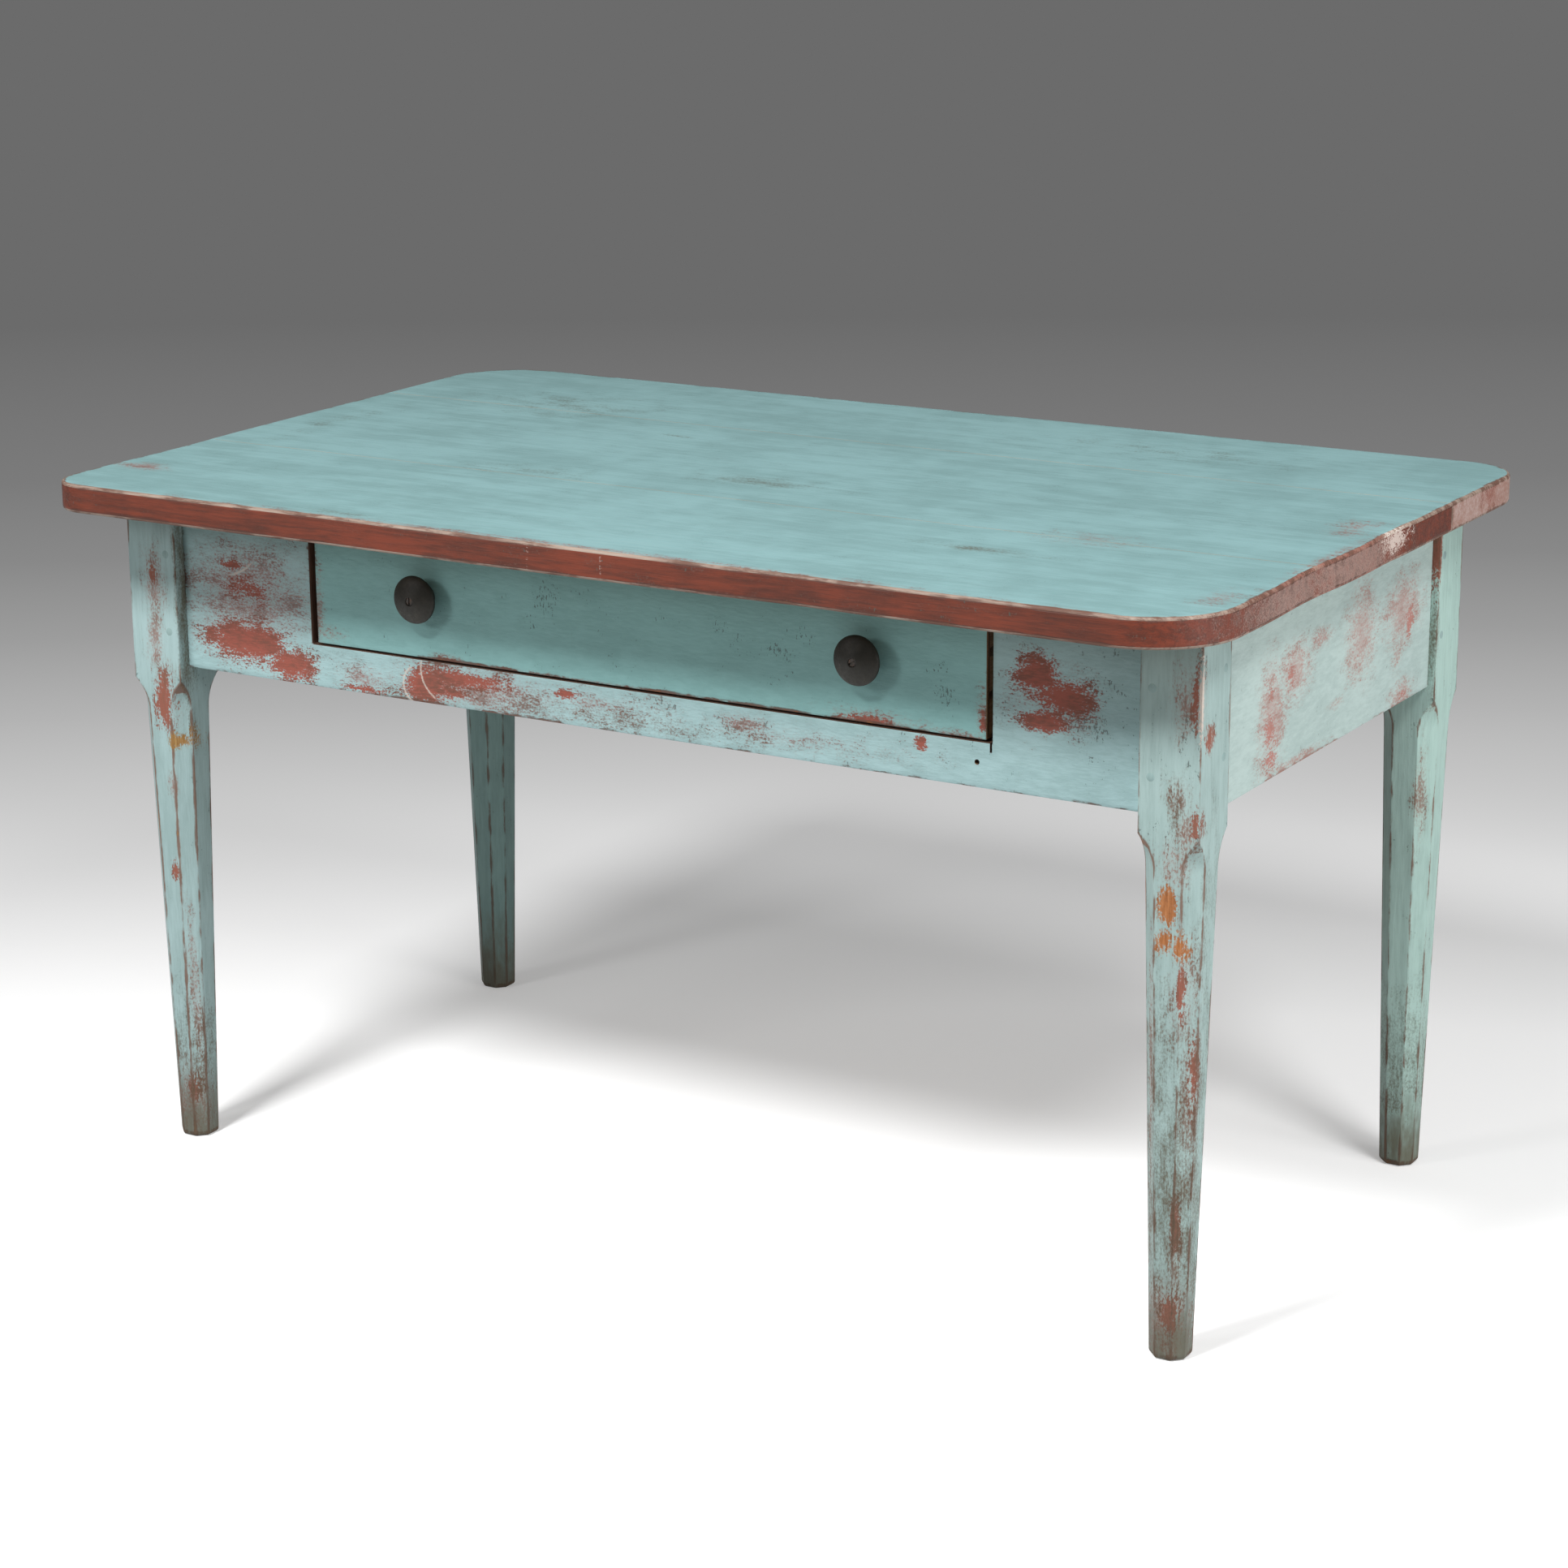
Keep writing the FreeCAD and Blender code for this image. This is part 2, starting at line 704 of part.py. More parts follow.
def make_knobs():
    save("knob_left", [shifted(knob(-1))])
    save("knob_right", [shifted(knob(1))])
    save("knob_screws", [shifted(knob_screw(side_x)) for side_x in (-1, 1)])


os.makedirs("parts", exist_ok=True)
make_top()
make_legs()
make_aprons()
make_runners()
make_drawer()
make_knobs()
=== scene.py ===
import math

import bpy
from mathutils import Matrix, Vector


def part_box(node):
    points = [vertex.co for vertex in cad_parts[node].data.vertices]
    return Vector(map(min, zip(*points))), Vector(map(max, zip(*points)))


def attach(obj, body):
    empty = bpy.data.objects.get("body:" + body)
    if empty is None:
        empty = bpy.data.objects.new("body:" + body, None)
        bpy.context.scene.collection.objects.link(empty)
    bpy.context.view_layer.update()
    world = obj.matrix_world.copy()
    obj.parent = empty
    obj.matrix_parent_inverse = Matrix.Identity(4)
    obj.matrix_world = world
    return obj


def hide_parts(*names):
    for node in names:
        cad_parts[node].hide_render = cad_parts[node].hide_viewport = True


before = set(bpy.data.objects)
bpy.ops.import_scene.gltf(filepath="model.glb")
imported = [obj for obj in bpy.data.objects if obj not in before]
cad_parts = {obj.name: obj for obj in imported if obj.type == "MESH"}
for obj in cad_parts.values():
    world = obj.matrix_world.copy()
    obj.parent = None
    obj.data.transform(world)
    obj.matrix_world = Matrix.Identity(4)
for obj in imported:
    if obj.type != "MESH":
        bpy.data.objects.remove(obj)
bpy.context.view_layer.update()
print("frame loaded,", len(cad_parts), "nodes")

near = 1e-5  # metres: points this close count as one place
level = 1e-4  # heights this close count as level
facing = 0.9  # share of a normal along an axis, from which a face counts as looking that way
arrisSlot, innerSlot, endSlot = 1, 2, 3  # finish slots of a board, beside 0 for its painted faces


# selecting and shaping, as by hand

def deselectAll():
    active = bpy.context.object
    if active and active.mode == "EDIT":
        bpy.ops.object.mode_set(mode="OBJECT")
    bpy.ops.object.select_all(action="DESELECT")


def activate(piece):
    deselectAll()
    piece.select_set(True)
    bpy.context.view_layer.objects.active = piece


def startBlock(name, low, high):
    deselectAll()
    low, high = Vector(low), Vector(high)
    bpy.ops.mesh.primitive_cube_add(size=1, location=(low + high) / 2, scale=high - low)
    block = bpy.context.object
    block.name = name
    bpy.ops.object.transform_apply()
    return block


def startCylinder(points, radius, length, place, turn):
    deselectAll()
    bpy.ops.mesh.primitive_cylinder_add(vertices=points, radius=radius, depth=length,
                                        location=place, rotation=turn)
    cylinder = bpy.context.object
    bpy.ops.object.transform_apply()
    return cylinder


def openForEdit(piece, kinds):
    activate(piece)
    mesh = piece.data
    bpy.context.tool_settings.mesh_select_mode = kinds
    for items in (mesh.vertices, mesh.edges, mesh.polygons):
        for item in items:
            item.select = False


def pickFaces(piece, wanted=lambda face: True):
    openForEdit(piece, (False, False, True))
    for face in piece.data.polygons:
        face.select = wanted(face)
    bpy.ops.object.mode_set(mode="EDIT")


def pickEdges(piece, wanted):
    openForEdit(piece, (False, True, False))
    points = piece.data.vertices
    for edge in piece.data.edges:
        edge.select = wanted(points[edge.vertices[0]].co, points[edge.vertices[1]].co)
    bpy.ops.object.mode_set(mode="EDIT")


def pickPoint(piece, place):
    openForEdit(piece, (True, False, False))
    nearest = min(piece.data.vertices, key=lambda point: (point.co - Vector(place)).length)
    nearest.select = True
    bpy.ops.object.mode_set(mode="EDIT")


def leaveEdit():
    bpy.ops.object.mode_set(mode="OBJECT")


def applyModifier(piece, kind, **settings):
    activate(piece)
    modifier = piece.modifiers.new(kind.lower(), kind)
    for name, value in settings.items():
        setattr(modifier, name, value)
    bpy.ops.object.modifier_apply(modifier=modifier.name)


def cutWith(piece, cutter):
    applyModifier(piece, "BOOLEAN", object=cutter, operation="DIFFERENCE", solver="EXACT")
    bpy.data.objects.remove(cutter)


def copyTo(piece, name, place):
    activate(piece)
    bpy.ops.object.duplicate()
    copied = bpy.context.object
    copied.name = name
    copied.location = place
    bpy.ops.object.transform_apply()
    return copied


def giveFinishes(piece, finishes):
    piece.data.materials.clear()
    for finish in finishes:
        piece.data.materials.append(finish)


def setSlot(piece, slot, wanted=lambda face: True):
    # moves the wanted faces to one of the piece's finish slots
    for face in piece.data.polygons:
        if wanted(face):
            face.material_index = slot


def looksAlong(way):
    return lambda face: face.normal.dot(Vector(way)) > facing


def easeArrises(piece, width, steps, slot=-1, sharp=30):
    # rounds each arris that turns by more than sharp degrees; a slot gives the new faces their own finish
    applyModifier(piece, "BEVEL", width=width, segments=steps, limit_method="ANGLE",
                  angle_limit=math.radians(sharp), material=slot)


def addWornBand(piece, band, easedSlot, wanted):
    # beside the eased arrises the flat faces get a band, and "rub" falls from 1 to 0 across it
    pickFaces(piece, lambda face: face.material_index != easedSlot and wanted(face))
    bpy.ops.mesh.inset(thickness=band, use_individual=False, use_even_offset=True)
    leaveEdit()
    mesh = piece.data
    eased = [face for face in mesh.polygons if face.material_index == easedSlot]
    rubbed = {point for face in eased for point in face.vertices}
    rub = mesh.attributes.get("rub") or mesh.attributes.new("rub", "FLOAT", "POINT")
    for point in mesh.vertices:
        rub.data[point.index].value = 1.0 if point.index in rubbed else 0.0


def smoothShade(piece, angle=40):
    activate(piece)
    bpy.ops.object.shade_smooth_by_angle(angle=math.radians(angle))


def settle(piece, body, slotName, *nodes):
    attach(piece, body)
    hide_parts(*nodes)


# shader nodes

def connect(tree, socket, value):
    if isinstance(value, bpy.types.NodeSocket):
        tree.links.new(value, socket)
    elif socket.type == "RGBA":
        socket.default_value = (*value[:3], 1)
    else:
        socket.default_value = value


def feed(tree, node, inputs):
    for name, value in inputs.items():
        connect(tree, node.inputs[name], value)


def addNode(tree, kind, inputs=None, **settings):
    node = tree.nodes.new(kind)
    for name, value in settings.items():
        setattr(node, name, value)
    feed(tree, node, inputs or {})
    return node


def calc(tree, operation, first, second=0.0):
    node = addNode(tree, "ShaderNodeMath", {0: first, 1: second}, operation=operation)
    return node.outputs[0]


def vectorCalc(tree, operation, first, second=(0, 0, 0)):
    node = addNode(tree, "ShaderNodeVectorMath", {0: first, 1: second}, operation=operation)
    return node.outputs["Value" if operation in ("LENGTH", "DOT_PRODUCT") else "Vector"]


def smoothStep(tree, value, low, high, start=0.0, end=1.0):
    inputs = {"Value": value, "From Min": low, "From Max": high, "To Min": start, "To Max": end}
    node = addNode(tree, "ShaderNodeMapRange", inputs, interpolation_type="SMOOTHSTEP")
    return node.outputs["Result"]


def mixColours(tree, factor, first, second, blend="MIX"):
    inputs = {0: factor, 6: first, 7: second}
    node = addNode(tree, "ShaderNodeMix", inputs, data_type="RGBA", blend_type=blend)
    return node.outputs[2]


def noiseAt(tree, place, scale, detail=3.0, roughness=0.55, distortion=0.0):
    inputs = {"Vector": place, "Scale": scale, "Detail": detail, "Roughness": roughness,
              "Distortion": distortion}
    return addNode(tree, "ShaderNodeTexNoise", inputs).outputs["Fac"]


def swing(tree, value, reach):
    # turns a 0 to 1 noise into one that swings by reach about zero
    return calc(tree, "MULTIPLY", calc(tree, "SUBTRACT", value, 0.5), reach)


def addSwings(tree, noises, start=None, **reaches):
    # adds up the named noises, each swinging by its own reach, on top of start
    total = start
    for name, reach in reaches.items():
        part = swing(tree, noises[name], reach)
        total = part if total is None else calc(tree, "ADD", total, part)
    return total


def startGroup(name, inputs, outputs):
    group = bpy.data.node_groups.new(name, "ShaderNodeTree")
    for label, kind in inputs.items():
        group.interface.new_socket(label, in_out="INPUT", socket_type="NodeSocket" + kind)
    for label, kind in outputs.items():
        group.interface.new_socket(label, in_out="OUTPUT", socket_type="NodeSocket" + kind)
    entry = group.nodes.new("NodeGroupInput").outputs
    result = group.nodes.new("NodeGroupOutput").inputs
    return group, entry, result


def useGroup(tree, group, noises=None, **inputs):
    # takes from the noises those that the group has an input for
    node = addNode(tree, "ShaderNodeGroup", node_tree=group)
    if noises:
        feed(tree, node, {name: noises[name] for name in fibreLayers if name in node.inputs})
    feed(tree, node, inputs)
    return node.outputs


grain = {  # how the grain is drawn out along a board
    "x": (40.0, 620.0, 620.0),
    "y": (620.0, 40.0, 620.0),
    "z": (480.0, 480.0, 40.0),
    "brushedX": (110.0, 430.0, 430.0),
    "brushedY": (430.0, 110.0, 430.0),
    "top": (16.0, 120.0, 600.0),
}
fibreLayers = {  # scales of the place and of the drawn-out place, the noise, and where its range starts
    "Fibre": {"place": (0, 0, 0), "drawn": 1.0, "detail": 6, "rough": 0.62, "bend": 0.2, "low": 0.3},
    "Stroke": {"place": (0, 0, 0), "drawn": 0.37, "detail": 3, "rough": 0.5, "bend": 0.3, "low": 0.32},
    "Cloud": {"place": (7, 7, 7), "drawn": 0, "detail": 3, "rough": 0.55, "bend": 0, "low": 0.28},
    "Blotch": {"place": (22, 22, 22), "drawn": 0.09, "detail": 5, "rough": 0.62, "bend": 0, "low": 0.3},
    "Speck": {"place": (300, 300, 300), "drawn": 0.5, "detail": 2, "rough": 0.6, "bend": 0, "low": 0.25},
    "Dot": {"place": (480, 480, 200), "drawn": 0, "detail": 2, "rough": 0.6, "bend": 0, "low": 0.25},
}
coats = {
    "paint": (0.33, 0.49, 0.5), "shade": (0.26, 0.41, 0.42),
    "undercoat": (0.3, 0.085, 0.06), "brown": (0.13, 0.065, 0.047),
    "wood": (0.48, 0.2, 0.075), "chip": (0.6, 0.52, 0.46),
}
softness = {"thin": 1.2, "worn": 0.5, "bared": 0.6, "chipped": 0.3, "grime": 1.6, "fleck": 0.6}
edgeRamps = {"Line": (0.35, 0.8, 0.0, 0.9), "Bared": (1.05, 1.3, 0.0, 1.0)}  # from, to, least, most
scratch = {"width": 0.0016, "endFade": 9.0, "breakUp": 0.8, "ramp": (0.0, 0.8, 0.0, 0.75)}
coatLook = {  # each ramp is from, to, least, most
    "toneRamp": (-0.5, 0.5),
    "fleckTone": (0.06, 0.08, 0.072), "fleckLift": 0.25, "fleckRamp": (1.05, 1.2, 0.0, 0.7),
    "ageRamp": (0.3, 1.2, 0.0, 0.7),
    "thinTint": 0.32, "mottleRamp": (0.5, 1.45, 0.0, 0.75),
    "woodShade": (0.6, 0.5, 0.4),
    # the grime tint and tone darken dirt, and on the front left leg they also paint shade into the corner
    # against the apron
    "dirtTint": (0.3, 0.28, 0.22), "dirtTone": (0.15, 0.11, 0.075), "dirtShare": 0.5,
    "footSwing": 0.05, "footDirtMost": 0.95,
    "roughness": 0.42, "goneRoughness": 0.16, "fibreRoughness": 0.14, "grimeRoughness": 0.1,
    "specular": 0.3,  # old paint is dull
    "fibreHeight": 0.4, "strokeHeight": 0.4, "bump": 0.5, "bumpDepth": 0.0006,
}


def makeFibreGroup():
    # grain and brush strokes, drawn out along the board by Stretch, and the mottling of old paint
    group, entry, result = startGroup(
        "woodFibre",
        {"Place": "Vector", "Stretch": "Vector"},
        dict.fromkeys(fibreLayers, "Float"),
    )
    drawn = vectorCalc(group, "MULTIPLY", entry["Place"], entry["Stretch"])
    for name, layer in fibreLayers.items():
        still = vectorCalc(group, "MULTIPLY", entry["Place"], layer["place"])
        along = vectorCalc(group, "MULTIPLY", drawn, (layer["drawn"],) * 3)
        noise = noiseAt(group, vectorCalc(group, "ADD", still, along), 1.0,
                        layer["detail"], layer["rough"], layer["bend"])
        connect(group, result[name], smoothStep(group, noise, layer["low"], 1 - layer["low"]))
    return group


def makeSpotGroup():
    # adds one more spot to a field of wear: Lift at its centre, falling by 1 over each half width
    group, entry, result = startGroup(
        "wearSpot",
        {"Field": "Float", "Place": "Vector", "Centre": "Vector", "Half": "Vector", "Lift": "Float"},
        {"Field": "Float"},
    )
    offset = vectorCalc(group, "SUBTRACT", entry["Place"], entry["Centre"])
    reach = vectorCalc(group, "LENGTH", vectorCalc(group, "DIVIDE", offset, entry["Half"]))
    inside = calc(group, "SUBTRACT", entry["Lift"], reach)
    connect(group, result["Field"], calc(group, "MAXIMUM", entry["Field"], inside))
    return group


def makeFrayGroup():
    # frays a field of wear along the fibres and into specks; Soft is how wide its edge is
    group, entry, result = startGroup(
        "frayedWear",
        {"Field": "Float", "Fibre": "Float", "Blotch": "Float", "Speck": "Float", "Soft": "Float"},
        {"Mask": "Float"},
    )
    fray = addSwings(group, entry, Blotch=0.65, Fibre=0.4, Speck=0.75)
    frayed = calc(group, "ADD", entry["Field"], fray)
    connect(group, result["Mask"], smoothStep(group, frayed, 0.0, entry["Soft"]))
    return group


def makeScratchGroup():
    # adds one more scratch, part of a ring about Centre: Toward is its middle, Spread the cosine of its end
    group, entry, result = startGroup(
        "curvedScratch",
        {"Field": "Float", "Place": "Vector", "Centre": "Vector", "Half": "Vector", "Toward": "Vector",
         "Spread": "Float", "Thickness": "Float"},
        {"Field": "Float"},
    )
    offset = vectorCalc(group, "SUBTRACT", entry["Place"], entry["Centre"])
    offset = vectorCalc(group, "DIVIDE", offset, entry["Half"])
    miss = calc(group, "ABSOLUTE", calc(group, "SUBTRACT", vectorCalc(group, "LENGTH", offset), 1.0))
    line = calc(group, "SUBTRACT", 1.0, calc(group, "DIVIDE", miss, entry["Thickness"]))
    past = calc(group, "SUBTRACT", vectorCalc(group, "DOT_PRODUCT", offset, entry["Toward"]), entry["Spread"])
    part = calc(group, "MINIMUM", line, calc(group, "MULTIPLY", past, scratch["endFade"]))
    connect(group, result["Field"], calc(group, "MAXIMUM", entry["Field"], part))
    return group


def makeEdgeGroup():
    # wear along the arrises, here wide and there missing: first to a brown line, then to the wood
    group, entry, result = startGroup(
        "rubbedEdge",
        {"Rub": "Float", "Fibre": "Float", "Cloud": "Float", "Blotch": "Float", "Amount": "Float"},
        dict.fromkeys(edgeRamps, "Float"),
    )
    strength = addSwings(group, entry, entry["Amount"], Fibre=0.4, Cloud=0.7, Blotch=0.7)
    worn = calc(group, "MULTIPLY", entry["Rub"], strength)
    for name, ramp in edgeRamps.items():
        connect(group, result[name], smoothStep(group, worn, *ramp))
    return group


def makeCoatGroup():
    # blue-green paint over an old red one over wood, and what shows where they are thin or gone
    masks = [kind.capitalize() for kind in (*softness, "line")]
    group, entry, result = startGroup(
        "oldCoats",
        {**dict.fromkeys([coat.capitalize() for coat in coats], "Color"),
         **dict.fromkeys([*fibreLayers, *masks], "Float")},
        {"Color": "Color", "Roughness": "Float", "Height": "Float"},
    )
    look = coatLook
    tone = addSwings(group, entry, Stroke=0.35, Cloud=0.5, Blotch=0.35, Fibre=0.28)
    paint = mixColours(group, smoothStep(group, tone, *look["toneRamp"]), entry["Paint"], entry["Shade"])
    clustered = addSwings(group, entry, entry["Dot"], Blotch=0.5)
    flecked = smoothStep(group, calc(group, "ADD", clustered, entry["Fleck"]), *look["fleckRamp"])
    paint = mixColours(group, flecked, paint, look["fleckTone"])
    aged = smoothStep(group, addSwings(group, entry, entry["Blotch"], Fibre=0.6), *look["ageRamp"])
    red = mixColours(group, aged, entry["Undercoat"], entry["Brown"])
    colour = mixColours(group, calc(group, "MULTIPLY", entry["Thin"], look["thinTint"]), paint, red)
    mottle = addSwings(group, entry, Speck=0.5, Blotch=0.4, Fibre=0.2)
    mottle = smoothStep(group, calc(group, "ADD", mottle, entry["Thin"]), *look["mottleRamp"])
    colour = mixColours(group, mottle, colour, red)
    colour = mixColours(group, entry["Worn"], colour, red)
    colour = mixColours(group, entry["Line"], colour, entry["Brown"])
    shaded = mixColours(group, 1.0, entry["Wood"], look["woodShade"], "MULTIPLY")
    wood = mixColours(group, entry["Fibre"], entry["Wood"], shaded)
    colour = mixColours(group, entry["Bared"], colour, wood)
    colour = mixColours(group, entry["Chipped"], colour, entry["Chip"])
    # the grime mask darkens the colour for dirt, and on the front left leg also as painted shade in the
    # corner against the apron
    dirty = mixColours(group, 1.0, colour, look["dirtTint"], "MULTIPLY")
    dirty = mixColours(group, look["dirtShare"], dirty, look["dirtTone"])
    connect(group, result["Color"], mixColours(group, entry["Grime"], colour, dirty))
    gone = calc(group, "MAXIMUM", entry["Worn"], calc(group, "MAXIMUM", entry["Line"], entry["Bared"]))
    rough = look["roughness"]
    for mask, name in ((gone, "gone"), (entry["Fibre"], "fibre"), (entry["Grime"], "grime")):
        rough = calc(group, "ADD", rough, calc(group, "MULTIPLY", mask, look[name + "Roughness"]))
    connect(group, result["Roughness"], rough)
    height = calc(group, "SUBTRACT", calc(group, "MULTIPLY", entry["Fibre"], look["fibreHeight"]), gone)
    stroke = calc(group, "MULTIPLY", entry["Stroke"], look["strokeHeight"])
    connect(group, result["Height"], calc(group, "ADD", height, stroke))
    return group


fibreGroup = makeFibreGroup()
spotGroup = makeSpotGroup()
frayGroup = makeFrayGroup()
scratchGroup = makeScratchGroup()
edgeGroup = makeEdgeGroup()
coatGroup = makeCoatGroup()


# wear: each spot is its centre, half widths and lift

noWear = -9.0  # below what any fraying can lift into sight
endless = 100.0  # a half width that no piece reaches the end of


def spotsX(*rows):
    # spots on a face that looks along x, so they go right through in x
    return [(0, y, z, endless, halfY, halfZ, lift) for y, z, halfY, halfZ, lift in rows]


def spotsY(*rows):
    return [(x, 0, z, halfX, endless, halfZ, lift) for x, z, halfX, halfZ, lift in rows]


def spotsZ(*rows):
    return [(x, y, 0, halfX, halfY, endless, lift) for x, y, halfX, halfY, lift in rows]


def scratchThroughY(x, z, radius, turn, spread, width=scratch["width"]):
    # part of a circle on a face that looks along y: turn and spread in degrees, turn 0 is towards +x
    turn, spread = math.radians(turn), math.radians(spread)
    toward = (math.cos(turn), 0, math.sin(turn))
    return (x, 0, z), (radius, endless, radius), toward, math.cos(spread), width / radius


def scratchThroughX(y, z, radius, turn, spread, width=scratch["width"]):
    turn, spread = math.radians(turn), math.radians(spread)
    toward = (0, math.cos(turn), math.sin(turn))
    return (0, y, z), (endless, radius, radius), toward, math.cos(spread), width / radius


def layWear(tree, place, fibres, kind, spots):
    if not spots:
        return 0.0
    field = noWear
    for spot in spots:
        field = useGroup(tree, spotGroup, Field=field, Place=place, Centre=spot[:3], Half=spot[3:6],
                         Lift=spot[6])["Field"]
    return useGroup(tree, frayGroup, fibres, Field=field, Soft=softness[kind])["Mask"]


def layScratches(tree, place, fibres, scratches):
    if not scratches:
        return 0.0
    field = noWear
    for centre, half, toward, spread, thickness in scratches:
        field = useGroup(tree, scratchGroup, Field=field, Place=place, Centre=centre, Half=half,
                         Toward=toward, Spread=spread, Thickness=thickness)["Field"]
    field = addSwings(tree, fibres, field, Speck=scratch["breakUp"])
    return smoothStep(tree, field, *scratch["ramp"])


# finishes

def startFinish(name):
    finish = bpy.data.materials.new(name)
    finish.use_nodes = True
    tree = finish.node_tree
    tree.nodes.clear()
    surface = addNode(tree, "ShaderNodeBsdfPrincipled")
    leave = addNode(tree, "ShaderNodeOutputMaterial")
    tree.links.new(surface.outputs[0], leave.inputs["Surface"])
    place = addNode(tree, "ShaderNodeTexCoord").outputs["Object"]
    return finish, tree, surface, place


def addBump(tree, surface, height, look):
    inputs = {"Strength": look["bump"], "Distance": look["bumpDepth"], "Height": height}
    tree.links.new(addNode(tree, "ShaderNodeBump", inputs).outputs["Normal"], surface.inputs["Normal"])


def paintFinish(name, along, edgeWear, wear=None, footDirt=0.0, **tones):
    # wear holds a list of spots for each kind in softness, and may hold scratches
    finish, tree, surface, place = startFinish(name)
    wear = wear or {}
    fibres = useGroup(tree, fibreGroup, Place=place, Stretch=grain[along])
    rub = addNode(tree, "ShaderNodeAttribute", attribute_name="rub").outputs["Fac"]
    edge = useGroup(tree, edgeGroup, fibres, Rub=rub, Amount=edgeWear)
    masks = {kind: layWear(tree, place, fibres, kind, wear.get(kind)) for kind in softness}
    masks["line"] = edge["Line"]
    masks["bared"] = calc(tree, "MAXIMUM", edge["Bared"], masks["bared"])
    scratched = layScratches(tree, place, fibres, wear.get("scratches"))
    masks["chipped"] = calc(tree, "MAXIMUM", masks["chipped"], scratched)
    masks["fleck"] = calc(tree, "MULTIPLY", masks["fleck"], coatLook["fleckLift"])
    if footDirt:
        height = addNode(tree, "ShaderNodeSeparateXYZ", {0: place}).outputs["Z"]
        height = addSwings(tree, fibres, height, Blotch=coatLook["footSwing"])
        foot = smoothStep(tree, height, 0.0, footDirt, coatLook["footDirtMost"], 0.0)
        masks["grime"] = calc(tree, "MAXIMUM", foot, masks["grime"])
    named = {label.capitalize(): value for label, value in {**coats, **tones, **masks}.items()}
    coat = useGroup(tree, coatGroup, fibres, **named)
    feed(tree, surface, {"Base Color": coat["Color"], "Roughness": coat["Roughness"],
                         "Specular IOR Level": coatLook["specular"]})
    addBump(tree, surface, coat["Height"], coatLook)
    return finish


bareLook = {"fibre": 0.6, "cloud": 0.5, "roughness": (0.62, 0.82), "bump": 0.4, "bumpDepth": 0.0005}


def bareFinish(name, along, light, dark):
    finish, tree, surface, place = startFinish(name)
    fibres = useGroup(tree, fibreGroup, Place=place, Stretch=grain[along])
    fibre = calc(tree, "MULTIPLY", fibres["Fibre"], bareLook["fibre"])
    cloud = calc(tree, "MULTIPLY", fibres["Cloud"], bareLook["cloud"])
    tone = mixColours(tree, calc(tree, "ADD", fibre, cloud), light, dark)
    rough = smoothStep(tree, fibres["Fibre"], 0.0, 1.0, *bareLook["roughness"])
    feed(tree, surface, {"Base Color": tone, "Roughness": rough})
    addBump(tree, surface, calc(tree, "ADD", fibres["Fibre"], fibres["Stroke"]), bareLook)
    return finish


iron = {
    "tone": (0.06, 0.055, 0.05), "rust": (0.11, 0.05, 0.025), "rustScale": 260.0, "rustRamp": (0.45, 0.7),
    "pitScale": 900.0, "pitDetail": 4.0, "pitRamp": (0.3, 0.7, 0.42, 0.7),
    "metallic": (0.85, 0.2), "bump": 0.3, "bumpDepth": 0.0003,
}


def ironFinish(name):
    finish, tree, surface, place = startFinish(name)
    pits = noiseAt(tree, place, iron["pitScale"], iron["pitDetail"])
    rust = smoothStep(tree, noiseAt(tree, place, iron["rustScale"]), *iron["rustRamp"])
    feed(tree, surface, {"Base Color": mixColours(tree, rust, iron["tone"], iron["rust"]),
                         "Roughness": smoothStep(tree, pits, *iron["pitRamp"]),
                         "Metallic": smoothStep(tree, rust, 0.0, 1.0, *iron["metallic"])})
    addBump(tree, surface, pits, iron)
    return finish


print("shader groups ready")


# bare timber and iron that stay as the CAD made them

bareWood = {"light": (0.47, 0.31, 0.17), "dark": (0.25, 0.145, 0.07)}
innerWood = {"light": (0.36, 0.23, 0.125), "dark": (0.17, 0.098, 0.05)}
# near black: partly sawn, dirty wood and partly painted shade for the narrow gap round the drawer
sawnWood = {"light": (0.12, 0.06, 0.038), "dark": (0.05, 0.026, 0.017)}
endWood = {"light": (0.27, 0.16, 0.08), "dark": (0.14, 0.078, 0.038)}
bareAlongX = bareFinish("bareWoodAlongX", "x", **bareWood)
bareAlongY = bareFinish("bareWoodAlongY", "y", **bareWood)
innerAlongX = bareFinish("innerWoodAlongX", "x", **innerWood)
innerAlongY = bareFinish("innerWoodAlongY", "y", **innerWood)
# darker end grain; on the drawer front's underside the same finish is painted shade for the gap above the
# rail
endGrain = bareFinish("endGrain", "x", **endWood)
darkIron = ironFinish("darkIron")
keptNodes = [
    (innerAlongX, ("top_tongue_front", "top_tongue_back")),
    (innerAlongY, ("top_buttons", "runner_left", "runner_right", "guide_left", "guide_right",
                   "drawer_stop_left", "drawer_stop_right")),
    (bareAlongX, ("drawer_back", "drawer_bottom_front", "drawer_bottom_rear")),
    (bareAlongY, ("drawer_side_left", "drawer_side_right")),
    (darkIron, ("top_button_screws", "runner_nail", "drawer_bottom_nails", "knob_screws")),
]
dovetailed = {"drawer_side_left": 1, "drawer_side_right": 1, "drawer_back": 0}  # the axis of its end grain

for keptFinish, nodeNames in keptNodes:
    for nodeName in nodeNames:
        giveFinishes(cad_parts[nodeName], [keptFinish])
for nodeName, axis in dovetailed.items():  # end grain is darker, so the dovetails show
    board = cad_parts[nodeName]
    board.data.materials.append(endGrain)
    setSlot(board, 1, lambda face: abs(face.normal[axis]) > facing)
print("inner pieces finished")


# table top: one slab with round corners, dented, eased, then sawn into its three boards

